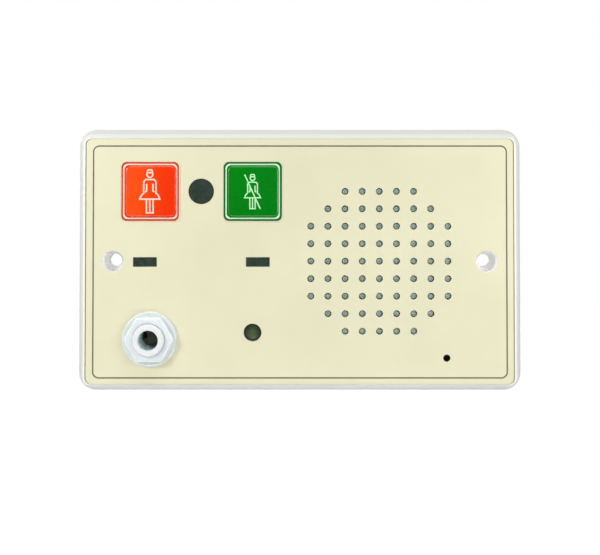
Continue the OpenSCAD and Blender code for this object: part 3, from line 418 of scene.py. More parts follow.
    def waves(self, field, pitch):
        """Even waves of a distance, from 0 to 1, a pitch apart."""
        turn = self.math("SINE", self.math("MULTIPLY", field, 2 * math.pi / pitch))
        return self.math("MULTIPLY_ADD", turn, 0.5, 0.5)

    def weave(self, pitch):
        """Even waves across and along the plate, multiplied."""
        return self.all_of(self.waves(self.axis("X"), pitch), self.waves(self.axis("Z"), pitch))


finishes = {}


def moulded(slot, rgb, rough, mottle=(6, 0.02), grain=(0.35, 0.006), sway=None, **fixed):
    """Moulded plastic or rubber: slow colour drift, fine surface grain, and a long sway in its gloss."""
    made = Finish(slot, rgb, rough, **fixed)
    made.mottle(*mottle)
    made.roughness(made.noise(3.0), rough * 0.85, rough * 1.15)
    if sway:
        made.bump(made.noise(sway[0], 1.0), sway[1])
    made.bump(made.noise(grain[0]), grain[1])
    finishes[slot] = made.material
    return made


def metal(slot, rgb, rough, stretch=(1, 1, 1), size=0.5, depth=0.004, share=0.06, rings=None, **fixed):
    """Plated or bare metal: cloudy plating, lines of drawing or turning, and uneven polish."""
    made = Finish(slot, rgb, rough, metal=1.0, **fixed)
    made.mottle(3.0, share)
    lines = made.noise(size, 3.0, stretch)
    made.roughness(lines, rough * 0.75, rough * 1.3)
    made.bump(lines, depth)
    if rings:
        made.bump(made.waves(made.from_axis(rings[0]), rings[1]), rings[2])
    finishes[slot] = made.material
    return made


LABEL_CREAM = (229, 226, 194)
HOLE_SHADE = (54, 64, 48)
CORNER_R = 1.9
GROOVE_W = 0.4
GRILLE_R = 25.5
MICROPHONE_HOLE_R = 1.4
MICROPHONE_SHADE_R = 1.14
HEAD_POCKET_R = 3.52
# Blend at the edge of a stain, and how far it reaches past a surface
SKIN = 0.02

plate = moulded("plate_plastic", (242, 242, 236), 0.45, (14, 0.008), (0.3, 0.003), (9, 0.03),
                Specular_IOR_Level=0.25)
# Painted shade: the rim's outer slope behind its crease, and everything further back, a little darker than
# the front
plate.lay_tone(plate.behind(CREASE_Z + 0.05, 0.1), (229, 229, 224))
# Painted shade on the walls of the grille's holes, darker and greener than the plate
grille_wall_shade = plate.all_of(
    plate.within(plate.from_axis(SPEAKER), GRILLE_R, 0.1),
    plate.behind(LAND_Z, SKIN), plate.before(FACE_Z - SKIN, SKIN))
plate.lay_tone(grille_wall_shade, (214, 222, 212))
# Painted shade down the microphone hole
microphone_hole_shade = plate.all_of(
    plate.within(plate.from_axis(MICROPHONE), MICROPHONE_HOLE_R, SKIN), plate.behind(LAND_Z, SKIN))
plate.lay_tone(microphone_hole_shade, HOLE_SHADE)
# Painted light in the screw pockets, whiter than the plate
for side in (-1, 1):
    pocket_light = plate.all_of(
        plate.within(plate.from_axis((side * SCREW_X, 0)), HEAD_POCKET_R, 0.04),
        plate.behind(FRONT_Z - SKIN, SKIN), plate.before(POCKET_Z, 0.1))
    plate.lay_tone(pocket_light, (255, 255, 254))
from_label = plate.from_outline((0, 0), *LABEL_HALF, CORNER_R)
# Painted shade in the groove between the label and its recess
groove_shade = plate.all_of(
    plate.span(from_label, -SKIN, 0), plate.within(from_label, GROOVE_W, SKIN),
    plate.behind(FRONT_Z - SKIN, 0.01), plate.before(LAND_Z - 0.1, 0.05))
plate.lay_tone(groove_shade, (176, 178, 160))

LINE_CENTRE = (0.08, -0.15)
LINE_HALF = (66.65, 37.3)
LINE_W = 0.46
label = moulded("label_film", LABEL_CREAM, 0.5, (22, 0.012), (0.25, 0.004), (16, 0.02),
                Specular_IOR_Level=0.3)
from_line = label.math("ABSOLUTE", label.from_outline(LINE_CENTRE, *LINE_HALF, CORNER_R))
label.lay_tone(label.within(from_line, LINE_W / 2 - 0.05, 0.1), (100, 104, 82))
# Painted shade on the label round the microphone hole
label.lay_tone(label.within(label.from_axis(MICROPHONE), MICROPHONE_SHADE_R, 0.03), HOLE_SHADE)

# Key frames: ink out to its edge, a printed light line, and a shade tone painted on the frame's inner ring
# and on the opening's wall.
# The last two pairs of a row are the shift in x and the half width, of the ink and of the light line
INK_HALF_H, INK_R = 9.6, 1.85
LIGHT_HALF_H, LIGHT_R, LIGHT_W = 8.91, 1.45, 0.44
OPENING_HALF, OPENING_R = 8.25, 1.5
PRINT_BLUR = 0.03
carrier = moulded("carrier_plastic", (230, 230, 225), 0.38)
for slot, x, ink, light, shade, (ink_x, ink_half), (light_x, light_half) in (
        ("call_border", CALL_X, (204, 62, 32), (255, 218, 200), (226, 70, 32),
         (-0.2, 9.3), (-0.2, 8.74)),
        ("cancel_border", CANCEL_X, (12, 98, 32), (200, 250, 204), (14, 118, 36),
         (-0.09, 9.41), (-0.13, 8.78))):
    border = moulded(slot, ink, 0.35, (4, 0.03), (0.2, 0.003))
    from_ink = border.from_outline((x + ink_x, KEY_Y), ink_half, INK_HALF_H, INK_R)
    border.lay_tone(border.span(from_ink, -PRINT_BLUR, PRINT_BLUR), LABEL_CREAM)
    for inwards, tone in ((0, light), (LIGHT_W, shade)):
        from_light = border.from_outline(
            (x + light_x, KEY_Y), light_half - inwards, LIGHT_HALF_H - inwards, LIGHT_R)
        border.lay_tone(border.within(from_light, -PRINT_BLUR, 2 * PRINT_BLUR), tone)
    # Painted shade in the key's colour on the walls of the opening
    for wall in (label, carrier):
        from_opening = wall.from_outline((x, KEY_Y), OPENING_HALF, OPENING_HALF, OPENING_R)
        wall.lay_tone(wall.within(from_opening, 0, 0.08), shade)

# Painted shade: each key's colour darkens across it from left to right, as if lit from the left, over this
# half width
SIDE_SHADE_HALF = 5
for slot, ink, x, right_side_shade in (("call_red", (252, 79, 16), CALL_X, (246, 54, 2)),
                              ("cancel_green", (0, 132, 16), CANCEL_X, (0, 128, 20))):
    cap = moulded(slot, ink, 0.28, (7, 0.03), (0.4, 0.002), (5, 0.02),
                  Specular_IOR_Level=0.2, Coat_Weight=1.0, Coat_Roughness=0.04, Coat_IOR=1.5)
    cap.lay_tone(cap.span(cap.axis("X"), x - SIDE_SHADE_HALF, x + SIDE_SHADE_HALF), right_side_shade)
prints = {
    name: moulded(name + "_print", ink, 0.35, (3, 0.015), (0.2, 0.002)).material
    for name, ink in (("call", (255, 222, 204)), ("cancel", (184, 246, 186)))
}
moulded("black_plastic", (38, 40, 42), 0.42, (3, 0.06), (0.18, 0.006))
moulded("plunger_plastic", (218, 218, 210), 0.35)
moulded("tinted_window", (49, 63, 54), 0.3, (1.6, 0.14), (0.5, 0.002), (2.5, 0.012), Specular_IOR_Level=0.2)
moulded("clear_acrylic", (225, 235, 236), 0.08, (4, 0.01), (0.6, 0.001),
        Transmission_Weight=0.92, IOR=1.49)
moulded("lamp_resin", (236, 231, 204), 0.25, (1.2, 0.03), (0.4, 0.002), Transmission_Weight=0.25, IOR=1.5)

tint = moulded("status_tint", (45, 59, 44), 0.2, (1.2, 0.1), (0.4, 0.002),
               Specular_IOR_Level=0.3, Coat_Weight=0.15, Coat_Roughness=0.1)
# Painted light: the lens lighter in its middle and darker towards its rim
tint.lay_tone(tint.within(tint.from_axis(STATUS), 0.3, 2.2), (80, 94, 63))

BUSH_R = 5.16
BORE_R = 3.3
CHAMBER_R = 7.6
nylon = moulded("socket_white", (229, 237, 239), 0.28, (5, 0.012), (0.3, 0.004), (3, 0.02))
from_socket = nylon.from_axis(SOCKET)
nut_edge_highlight = nylon.all_of(nylon.before(NUT_TOP_Z - NUT_EDGE, 0.2), nylon.behind(NUT_TOP_Z - 0.01, SKIN))
nut_side_shade = nylon.all_of(nylon.behind(NUT_TOP_Z - 0.6, 0.1), nylon.within(from_socket, 8.3, 0.2))
bush = nylon.within(from_socket, BUSH_R, SKIN)
bore = nylon.all_of(nylon.within(from_socket, BORE_R, 0.04), nylon.behind(13.6, 0.1))
chamber = nylon.all_of(
    nylon.within(from_socket, CHAMBER_R, 0.1), nylon.behind(-2, 10), nylon.before(-16.9, 0.05))
# Painted highlight on the nut's top edge, painted shade on its sides and flange, the bush a little lighter,
# and painted light in the bore and its chamber, greener and yellower than the nylon
for share, tone in ((nut_edge_highlight, (250, 252, 252)), (nut_side_shade, (223, 232, 232)), (bush, (236, 238, 239)),
                    (bore, (226, 244, 242)), (chamber, (250, 255, 226))):
    nylon.lay_tone(share, tone)

metal("contact_metal", (206, 192, 150), 0.28, (1, 8, 8), 0.3)
PITCH = 0.52
cloth = Finish("grille_cloth", (140, 154, 148), 0.85, Sheen_Weight=0.3, Sheen_Roughness=0.5)
warp = cloth.waves(cloth.axis("X"), PITCH)
weft = cloth.waves(cloth.axis("Z"), PITCH)
square = cloth.tree.nodes.new("ShaderNodeTexChecker")
square.inputs["Scale"].default_value = 1 / PITCH
cloth.link(cloth.vector("MULTIPLY", cloth.place, (1, 0, 1)), square.inputs["Vector"])
thread = cloth.math("MULTIPLY_ADD", square.outputs["Fac"], cloth.math("SUBTRACT", warp, weft), weft)
thread_share = cloth.span(thread, 0.1, 0.9)
# Painted light and shade: the cloth paler where it lies low, in the shadowed ring round each bulge, and
# darker on the lit tops of the bulges
cloth.colour(cloth.mixed(
    cloth.behind(8.9, 1.3),
    cloth.mixed(thread_share, (156, 175, 169), (184, 202, 198)),
    cloth.mixed(thread_share, (212, 232, 219), (246, 254, 250))))
cloth.bump(thread, 0.08)
cloth.bump(cloth.noise(0.12, 3.0), 0.02)
finishes["grille_cloth"] = cloth.material

moulded("gasket_foam", (44, 44, 46), 0.9, (0.6, 0.2), (0.25, 0.06))
metal("basket_steel", (150, 154, 158), 0.38, (1, 1, 1), 0.4, 0.006, 0.05, (SPEAKER, 0.7, 0.006))
moulded("surround_rubber", (34, 35, 38), 0.55, (2, 0.08), (0.2, 0.006))
moulded("cone_paper", (58, 60, 62), 0.9, (1.5, 0.14), (0.22, 0.05))
coil = metal("coil_copper", (184, 118, 66), 0.3, (1, 1, 1), 0.3)
coil.bump(coil.waves(coil.axis("Y"), 0.18), 0.03)
spider = moulded("spider_cloth", (194, 160, 88), 0.85, (1.4, 0.08), (0.15, 0.02))
spider.bump(spider.weave(0.5), 0.05)
metal("pole_steel", (186, 189, 188), 0.32, (1, 1, 1), 0.6, 0.004, 0.05, (SPEAKER, 0.35, 0.008))
moulded("magnet_ferrite", (62, 64, 68), 0.5, (1.2, 0.12), (0.25, 0.03), Specular_IOR_Level=0.6)
moulded("tag_strip", (176, 138, 86), 0.5, (0.8, 0.1), (0.2, 0.01))
metal("clamp_steel", (198, 201, 204), 0.3, (6, 1, 1), 0.5)
metal("screw_steel", (188, 191, 192), 0.28, (1, 1, 1), 0.4)
FELT_Z = 6.54
can = metal("capsule_metal", (172, 176, 180), 0.25, (1, 6, 1), 0.3)
on_felt = can.before(FELT_Z, SKIN)
can.lay_tone(on_felt, (62, 78, 54))
can.link(can.span(on_felt, 0, 1, 1, 0), can.shader.inputs["Metallic"])
can.bump(can.all_of(can.noise(0.12, 3.0), on_felt), 0.08)
moulded("boot_rubber", (26, 27, 29), 0.6, (2, 0.08), (0.2, 0.008))
board = moulded("board_laminate", (38, 104, 62), 0.3, (5, 0.06), (0.3, 0.003),
                Coat_Weight=0.3, Coat_Roughness=0.15)
board.bump(board.weave(0.6), 0.006)
moulded("terminal_green", (54, 122, 70), 0.4, (4, 0.03), (0.25, 0.005))
moulded("chip_black", (36, 37, 39), 0.5, (1.5, 0.06), (0.12, 0.008))
metal("can_metal", (190, 194, 198), 0.25, (1, 6, 1), 0.3)
metal("crystal_metal", (200, 202, 204), 0.24, (5, 1, 1), 0.4)
moulded("header_nylon", (232, 228, 208), 0.4, (3, 0.02))
for slot, ink in (("speaker_wire", (150, 34, 30)), ("microphone_wire", (62, 64, 68)),
                  ("socket_wire", (104, 76, 148))):
    moulded(slot, ink, 0.36, (2, 0.05), (0.3, 0.004))
solder = metal("solder", (196, 198, 200), 0.22, (1, 1, 1), 0.35, 0.01).material
track_green = moulded("track_green", (58, 138, 82), 0.28, (3, 0.06), (0.3, 0.003),
                      Coat_Weight=0.3, Coat_Roughness=0.15).material
silk = moulded("board_print", (222, 226, 218), 0.55, (1.5, 0.03), (0.15, 0.006)).material

for name, node in frame["nodes"].items():
    if not node.material_slots:
        node.data.materials.append(None)
    for place in node.material_slots:
        place.material = finishes[SLOT_OF[name]]


# Keys: a crowned cap in place of each key, and its printed figure

KEY_HALF = 8.17
KEY_R = 1.56
KEY_EDGE = 0.5
KEY_CHAMFER = 0.25
KEY_SEAT_Z = 9.3
KEY_TOP_Z = 10.95
KEY_CROWN = 0.28
CROWN_HALF = KEY_HALF - KEY_EDGE
INK_STEP = 0.4
INK_ROOT = 0.05
INK_RISE = 0.012
STRIKE = [(-2.55, 5.49), (2.5, -5.55)]


def crown_z(x, y):
    """Key's front: the top less the crown times 1 - (1 - X^2)(1 - Y^2).
    X and Y are shares of the crown's half width."""
    fx = 1 - np.clip(np.abs(x) / CROWN_HALF, 0, 1) ** 2
    fy = 1 - np.clip(np.abs(y) / CROWN_HALF, 0, 1) ** 2
    return KEY_TOP_Z - KEY_CROWN * (1 - fx * fy)


def key_cap(x):
    """Rings of a rounded square: up the side, round the edge, then in over the crown.
    The edge moves in by r - r cos a and up by r sin a."""
    edge_z = KEY_TOP_Z - KEY_CROWN - KEY_EDGE
    rows = [(KEY_CHAMFER, KEY_SEAT_Z), (0, KEY_SEAT_Z + KEY_CHAMFER), (0, (KEY_SEAT_Z + edge_z) / 2)]
    rows += [(KEY_EDGE * (1 - math.cos(a)), edge_z + KEY_EDGE * math.sin(a))
             for a in np.radians(np.linspace(0, 90, 9))]
    rings = []
    for inset, z in rows:
        outline = rounded_outline(KEY_HALF - inset, KEY_HALF - inset, KEY_R - inset)
        rings.append(np.column_stack([outline, np.full(len(outline), z)]))
    inner = rings[-1][:, :2]
    for share in np.linspace(1, 0.04, 16)[1:]:
        outline = inner * share
        rings.append(np.column_stack([outline, crown_z(*outline.T)]))
    rings = np.array(rings) + (x, KEY_Y, 0)
    return ring_form(rings)


def figure(scale, strike):
    """Outline figure of a nurse, as lines (points, closed) in millimetres about its middle."""
    left_arm = [(-1.04, 2.5), (-1.04, 0.15), (-1.5, -0.25)]
    coat = np.vstack([
        [(-1.88, -0.5), (-2.03, -0.1)], arc((-0.98, 2.9), 1.05, 180, 90, 7),
        arc((0.98, 2.9), 1.05, 90, 0, 7), [(2.03, -0.1), (1.88, -0.5)],
    ])
    skirt = np.array([(-1.88, -0.5), (-2.5, -0.98), (-2.96, -1.62), (-3.3, -2.56)])
    hat = np.vstack([
        [(-0.84, 6.2)], arc((-0.5, 6.84), 0.27, 170, 90, 4), arc((0.5, 6.84), 0.27, 90, 10, 4), [(0.84, 6.2)],
    ])
    lines = [
        (arc((0, 5.62), 0.98, 144, 396, 19), True),
        (hat, False),
        (coat, False),
        (left_arm, False),
        ([(-x, y) for x, y in left_arm], False),
        (np.vstack([skirt, skirt[::-1] * (-1, 1)]), False),
        ([(-1.12, -2.56), (-1.12, -7.1), (1.12, -7.1), (1.12, -2.56)], False),
        ([(0, -2.56), (0, -7.1)], False),
    ]
    lines = [(np.asarray(points) * scale, closed) for points, closed in lines]
    if strike:
        lines.append((np.array(STRIKE), False))
    return lines


def printed(lines, width, centre):
    """Bands of ink a hair above the key's crown, in steps short enough to follow it."""
    forms = []
    for points, closed in lines:
        path = spaced(points, INK_STEP, closed)
        vertices, faces = band_form(
            path, width,
            lambda x, y: crown_z(x, y) - INK_ROOT, lambda x, y: crown_z(x, y) + INK_RISE, closed)
        forms.append((vertices + (centre[0], centre[1], 0), faces))
    return joined(forms)


for name, x, scale, width, shift, strike in (
        ("call", CALL_X, 0.972, 0.47, (-0.21, 0.0), False),
        ("cancel", CANCEL_X, 0.773, 0.41, (-0.14, -0.08), True)):
    body = name + "_button"
    slot = SLOT_OF[name + "_key"]
    piece(name + "_key_cap", *key_cap(x), body, slot, [name + "_key"], 30)
    marks = printed(
        [(points + shift, closed) for points, closed in figure(scale, strike)], width, (x, KEY_Y))
    piece(name + "_key_figure", *marks, body, slot, material=prints[name])


# Loudspeaker: cloth, gasket, surround and spider

GRILLE_STEP = (5.53, 5.63)
HOLE_R = 1.1
CLOTH_BULGE = 1.65
CLOTH_R = 26.15
CLOTH_Z = 7.46
CLOTH_T = 0.2


def grille_lines(step):
    """Places of the cloth's grid lines: 15 across each row of holes, 2 between rows, 3 beyond the last."""
    rows = np.arange(-4, 5)[:, None] * step
    near = rows + np.linspace(-HOLE_R, HOLE_R, 15)
    between = rows[:-1] + step / 2 + np.array([-HOLE_R / 2, HOLE_R / 2])
    beyond = np.linspace(4 * step + HOLE_R, CLOTH_R, 4)[1:]
    return np.sort(np.concatenate([near.ravel(), between.ravel(), beyond, -beyond]))


def speaker_cloth():
    """Cloth drawn into the grille's holes: crossed lines clipped to a disc, whose rim points move out to
    its radius. The height is z0 + h t^2 (3 - 2t), with t = (w - d) / g kept from 0 to 1, at a distance d
    from the middle of the nearest hole."""
    lines = [grille_lines(step) for step in GRILLE_STEP]
    x, y = (grid.ravel() for grid in np.meshgrid(*lines, indexing="ij"))
    index = np.arange(x.size).reshape(len(lines[0]), len(lines[1]))
    quads = np.stack([index[:-1, :-1], index[1:, :-1], index[1:, 1:], index[:-1, 1:]], -1).reshape(-1, 4)
    quads = quads[np.hypot(x[quads].mean(1), y[quads].mean(1)) < CLOTH_R]
    kept, quads = np.unique(quads, return_inverse=True)
    quads = quads.reshape(-1, 4)
    x, y, count = x[kept], y[kept], len(kept)
    starts, ends = quads.ravel(), np.roll(quads, -1, axis=1).ravel()
    open_edge = ~np.isin(starts * count + ends, ends * count + starts)
    starts, ends = starts[open_edge], ends[open_edge]
    out = CLOTH_R / np.hypot(x[starts], y[starts])
    x[starts], y[starts] = x[starts] * out, y[starts] * out
    column, row = np.round(x / GRILLE_STEP[0]), np.round(y / GRILLE_STEP[1])
    d = np.hypot(x - column * GRILLE_STEP[0], y - row * GRILLE_STEP[1])
    holed = (np.abs(column) <= 4) & (np.abs(row) <= 4) & (np.abs(column) + np.abs(row) <= 6)
    w, g = 1.09, 0.3
    t = np.clip((w - d) / g, 0, 1) * holed
    front = np.stack([SPEAKER[0] + x, y, CLOTH_Z + CLOTH_BULGE * t * t * (3 - 2 * t)], -1)
    sides = np.stack([ends, starts, starts + count, ends + count], -1)
    return np.vstack([front, front - (0, 0, CLOTH_T)]), np.vstack([quads, quads[:, ::-1] + count, sides])


def gasket():
    """Foam ring: a super-ellipse section, |u|^4 + |v|^4 = 1, carried round the loudspeaker."""
    t = np.linspace(0, 2 * math.pi, 28, endpoint=False)
    u = np.sign(np.cos(t)) * np.abs(np.cos(t)) ** 0.5
    v = np.sign(np.sin(t)) * np.abs(np.sin(t)) ** 0.5
    (r, z), (half_w, half_t) = (25.1, 6.8), (0.88, 0.4)
    return loop_form(turned_ring(np.stack([r + half_w * u, z + half_t * v], -1), SPEAKER))


def surround():
    """Half roll: the line (r, z) of a half circle and its outer lap, thickened along its normals."""
    roll_middle, roll_r, lap_z, thickness = (21.3, 4.55), 0.93, 4.56, 0.28
    line = np.vstack([arc(roll_middle, roll_r, 180, 0, 17), [(22.4, lap_z), (24.08, lap_z)]])
    left, right = mitred_sides(line, thickness)
    return loop_form(turned_ring(np.vstack([left, right[::-1]]), SPEAKER, 144))


def surround_lap():
    """Inner lap, glued along the cone's front: z0 + h ((r - r0) / w)^1.3 and a thickness above it."""
    z0, h, r0, w, thickness = -0.07, 4.5, 6.5, 13.7, 0.2
    r = np.linspace(18.9, 20.18, 7)
    low = h * ((r - r0) / w) ** 1.3 + z0
    return loop_form(turned_ring(
        np.vstack([np.stack([r, low], -1), np.stack([r, low + thickness], -1)[::-1]]), SPEAKER, 144))


def spider_disc():
    """Corrugated disc: the line z0 - a sin(2 pi n s), s from 0 at its neck to 1 at its land, and a flat lap,
    thickened along its normals."""
    neck_r, land_r, z0, a, n, thickness = 6.72, 12.5, -1.25, 0.3, 3, 0.26
    s = np.linspace(0, 1, 61)
    r = neck_r + (land_r - neck_r) * s
    z = z0 - a * np.sin(2 * math.pi * n * s)
    line = np.vstack([np.stack([r, z], -1), [(13.0, z0), (13.45, z0)]])
    left, right = mitred_sides(line, thickness)
    return loop_form(turned_ring(np.vstack([left, right[::-1]]), SPEAKER, 120))


grille_cloth = piece("grille_cloth", *speaker_cloth(), "housing", "grille_cloth", ["speaker_cloth"])
piece("speaker_foam", *gasket(), "housing", "gasket_foam", ["speaker_gasket"])
piece("speaker_roll", *surround(), "housing", "surround_rubber", ["speaker_surround"], 60)
piece("speaker_roll_lap", *surround_lap(), "speaker_diaphragm", "surround_rubber", sharp=60)
piece("speaker_centring", *spider_disc(), "housing", "spider_cloth", ["speaker_spider"], 60)


# Socket nut: a hexagon with softened edges on its flange

def hexagon_nut():
    """Section (r, z) at each turn u.
    Its side is the hexagon a / cos(u mod 60 - 30), no further out than the corners."""
    u = np.linspace(0, 2 * math.pi, 360, endpoint=False)
    side = np.minimum(NUT_FLAT_R / np.cos(np.mod(u, math.pi / 3) - math.pi / 6), NUT_CORNER_R)
    bends = np.radians(np.linspace(0, 90, 7))
    chamfer = 0.15
    rows = [(NUT_BORE_R, FRONT_Z), (NUT_BORE_R, NUT_TOP_Z - chamfer), (NUT_BORE_R + chamfer, NUT_TOP_Z)]
    rows += [(side - NUT_EDGE + NUT_EDGE * math.sin(a), NUT_TOP_Z - NUT_EDGE + NUT_EDGE * math.cos(a))
             for a in bends]
    rows += [(side, NUT_SEAT_Z + 0.12), (side + 0.04, NUT_SEAT_Z + 0.03), (side + 0.14, NUT_SEAT_Z)]
    edge_w, edge_h = 0.55, 0.5
    rows += [(NUT_FLANGE_R - edge_w + edge_w * math.sin(a), NUT_SEAT_Z - edge_h + edge_h * math.cos(a))
             for a in bends]
    rows += [(NUT_FLANGE_R, FRONT_Z + 0.05), (NUT_FLANGE_R - 0.05, FRONT_Z)]
    return loop_form([
        np.stack([SOCKET[0] + r * np.cos(u), SOCKET[1] + r * np.sin(u), z + 0 * u], -1) for r, z in rows])


piece("socket_nut_form", *hexagon_nut(), "housing", "socket_white", ["socket_nut"], 25)


# Leads, along the routes of their solids

LEADS = (
    ("speaker_wires", "speaker_lead", "speaker_wire", 1.1, (
        ((-4.6, -7, 4.1), (-3.5, -7, 4.1), (-3.75, -4.15, 4.1), (-3.75, -2.4, 4.4), (-3.3, -1.3, 4.7),
         (-2.2, -1.3, 4.7)),
        ((-4.6, -7, 2.3), (-3.5, -7, 2.3), (-3.75, -2.85, 2.3), (-3.75, 0.2, 3.5), (-3.3, 1.3, 4.7),
         (-2.2, 1.3, 4.7)),
    )),
    ("microphone_cable", "microphone_lead", "microphone_wire", 2.0, (
        ((47.3, -31.1, -0.2), (47.3, -31.1, -2.2), (43.3, -31.4, -2.8), (39.3, -32.3, -0.8),
         (36, -34.6, 4.3), (30, -34.6, 4.3), (21.5, -34.6, 4.3), (13, -34.6, 4.3), (7, -34.6, 4.3),
         (4.2, -34.2, 4.3), (1, -31, 4.3), (-1.6, -22, 3.2), (-3.6, -20.5, 3.2), (-4.6, -20.5, 3.2)),
    )),
    ("socket_wires", "socket_lead", "socket_wire", 1.1, (
        ((-48.3, -19.1, -21), (-48.3, -19.1, -22.1), (-43.25, -16.05, -22.1), (-38.2, -13, -17),
         (-38.2, -11.4, -9.7), (-35.3, -11.4, -2.4), (-34.2, -11.4, -2.4)),
        ((-54.9, -25, -21), (-54.9, -25, -22.1), (-46.55, -19.8, -22.1), (-38.2, -14.6, -17),
         (-38.2, -13, -9.7), (-35.3, -13, -2.4), (-34.2, -13, -2.4)),
        ((-41.7, -25, -21), (-41.7, -25, -22.1), (-39.95, -20.6, -22.1), (-38.2, -16.2, -17),
         (-38.2, -14.6, -9.7), (-35.3, -14.6, -2.4), (-34.2, -14.6, -2.4)),
    )),
)
for name, node, slot, d, routes in LEADS:
    wires = joined([tube_form(smooth_route(route), d) for route in routes])
    piece(name, *wires, "housing", slot, [node])


# Circuit board: solder, tracks, print and small parts

TRACK_W = 0.5
TRACK_RISE = 0.03
PRINT_RISE = 0.025
ROOT_RISE = -0.02
JOINT_R = 0.85
BACK_JOINTS = [(HEADER_X, y) for y in (-8.25, -5.75, -21.75, -19.25)]
BACK_JOINTS += [(SIGNAL_X + dx, 24.6) for dx in (-2.5, 0, 2.5)]
BACK_JOINTS += [(-22.4, -5), (-14.6, -5), (-16.5, -22.95), (-13.9, -22.95)]
BACK_JOINTS += [(x + dx, KEY_Y + dy) for x in (CALL_X, CANCEL_X) for dx in (-3.2, 3.2) for dy in (-2.2, 2.2)]
TERMINAL_PITCH = 5.08
FRONT_JOINTS = [(TERMINAL_X + (way - 2.5) * TERMINAL_PITCH, 12) for way in range(6)]
FRONT_JOINTS += [(SOCKET_HEADER_X, y) for y in (-15, -13, -11)]
VIAS = [(-46, 2), (-44.2, -4), (-40, 4.6), (-37.2, -1.6), (-26.2, 2.5), (-24.5, -9.6), (-19.8, 1.4),
        (-12.2, 4.5), (-9.2, 0.6), (-11.6, -14.2), (-26.8, -25.6), (-21.2, -29.4), (-38.2, 25.6),
        (-24.6, 19.2), (-36.2, 19.4), (-27.2, 28.6), (-43.2, -10.8), (-28.6, -14.6)]
TRACKS = [
    [(-40.7, 7.2), (-40.7, 4.6), (-46, 0.2), (-46, -6), (-43.2, -8.8), (-43.2, -10.8)],
    [(-35.6, 7.2), (-35.6, 3), (-37.2, 1.4), (-37.2, -7.6), (-35.2, -9.2)],
    [(-30.5, 7.2), (-30.5, 3.4), (-28.6, 1.5), (-28.6, -14.6)],
    [(-25.5, 7.2), (-25.5, 4), (-24.5, 3), (-24.5, -9.6)],
    [(-20.4, 7.2), (-20.4, 5), (-19.8, 4.4), (-19.8, 1.4)],
    [(-15.3, 7.2), (-15.3, 6), (-12.2, 2.9), (-12.2, -1.4), (-14.6, -3.8), (-14.6, -5)],
    [(-6.8, -5.75), (-9.2, -3.4), (-9.2, 0.6)],
    [(-6.8, -8.25), (-11.6, -13), (-11.6, -14.2)],
    [(-6.8, -19.25), (-10.4, -19.25), (-13.9, -22.95)],
    [(-6.8, -21.75), (-8.6, -23.6), (-8.6, -25.2), (-12.8, -29.4), (-21.2, -29.4)],
    [(-16.5, -22.95), (-19.2, -25.6), (-26.8, -25.6), (-30.4, -22), (-30.4, -18)],
    [(-22.4, -5), (-22.4, -11.4), (-26, -15), (-26, -21.5)],
    [(-34.1, 24.6), (-36.2, 22.5), (-36.2, 16.8)],
    [(-31.6, 24.6), (-31.6, 16.8)],
    [(-29.1, 24.6), (-27.2, 26.5), (-27.2, 28.6)],
    [(-24.6, 19.2), (-24.6, 16.8)],
    [(-44.85, 24.7), (-38.2, 24.7), (-38.2, 25.6)],
    [(-44.85, 20.3), (-41.6, 20.3), (-38.4, 17.1), (-38.4, 16.8)],
    [(-18.25, 24.7), (-22, 24.7), (-24.6, 22.1), (-24.6, 19.2)],
    [(-11.85, 20.3), (-9.6, 18), (-9.6, 13.4), (-11.4, 11.6)],
]
SMALL_PARTS = [(-42.6, 2.4, 0), (-42.6, -1.4, 0), (-33, 0.6, 90), (-33, -4.4, 90), (-16.8, 0, 0),
               (-16.8, -9.8, 0), (-16.8, -13, 0), (-22.2, -16.4, 90), (-18.8, -18.4, 90),
               (-34, -20.4, 0), (-34, -23.6, 0), (-12, 25.6, 90), (-21.6, 29, 0), (-41.6, 28.6, 0),
               (-47.4, 14, 90), (-9.4, 17.4, 0)]


def board_layer(rise):
    """Height behind the board's rear face by a rise, the same everywhere; below 0 it is inside the board."""
    return lambda x, y: np.full(np.shape(x), BOARD_BACK_Z - rise)


tracks = [band_form(np.array(route), TRACK_W, board_layer(TRACK_RISE), board_layer(ROOT_RISE))
          for route in TRACKS]
pads = [dome_form(place, 0.62, 0.05, BOARD_BACK_Z, -1, 14, 3) for place in VIAS]
piece("board_tracks", *joined(tracks + pads), "housing", "board_laminate", material=track_green)

joints = [dome_form(place, JOINT_R, 0.62, BOARD_BACK_Z, -1, 14, 7, 0.35) for place in BACK_JOINTS]
joints += [dome_form(place, JOINT_R, 0.6, BOARD_FRONT_Z, 1, 14, 7, 0.35) for place in FRONT_JOINTS]
joints += [dome_form(place, 0.22, 0.07, BOARD_BACK_Z - 0.02, -1, 10, 3) for place in VIAS]
piece("board_solder", *joined(joints), "housing", "contact_metal", material=solder)

PART_L, PART_W = 2.0, 1.2
END_L, END_W, END_PLACE = 0.42, 1.24, 0.86
bodies, caps, outlines = [], [], []
for x, y, turn in SMALL_PARTS:
    flat = turn == 0
    w, h = (PART_L, PART_W) if flat else (PART_W, PART_L)
    end_w, end_h = (END_L, END_W) if flat else (END_W, END_L)
    along = np.array((1, 0) if flat else (0, 1))
    bodies.append(soft_block((x, y), w - 0.5 * along[0], h - 0.5 * along[1],
                             BOARD_BACK_Z - 0.55, BOARD_BACK_Z, 0.04, 0.06))
    for side in (-1, 1):
        caps.append(soft_block(np.array((x, y)) + side * END_PLACE * along, end_w, end_h,
                               BOARD_BACK_Z - 0.58, BOARD_BACK_Z, 0.05, 0.08))
    outlines.append(band_form(
        rounded_outline(w / 2 + 0.45, h / 2 + 0.45, 0.2, 3, 1) + (x, y), 0.13,
        board_layer(PRINT_RISE), board_layer(ROOT_RISE), True))
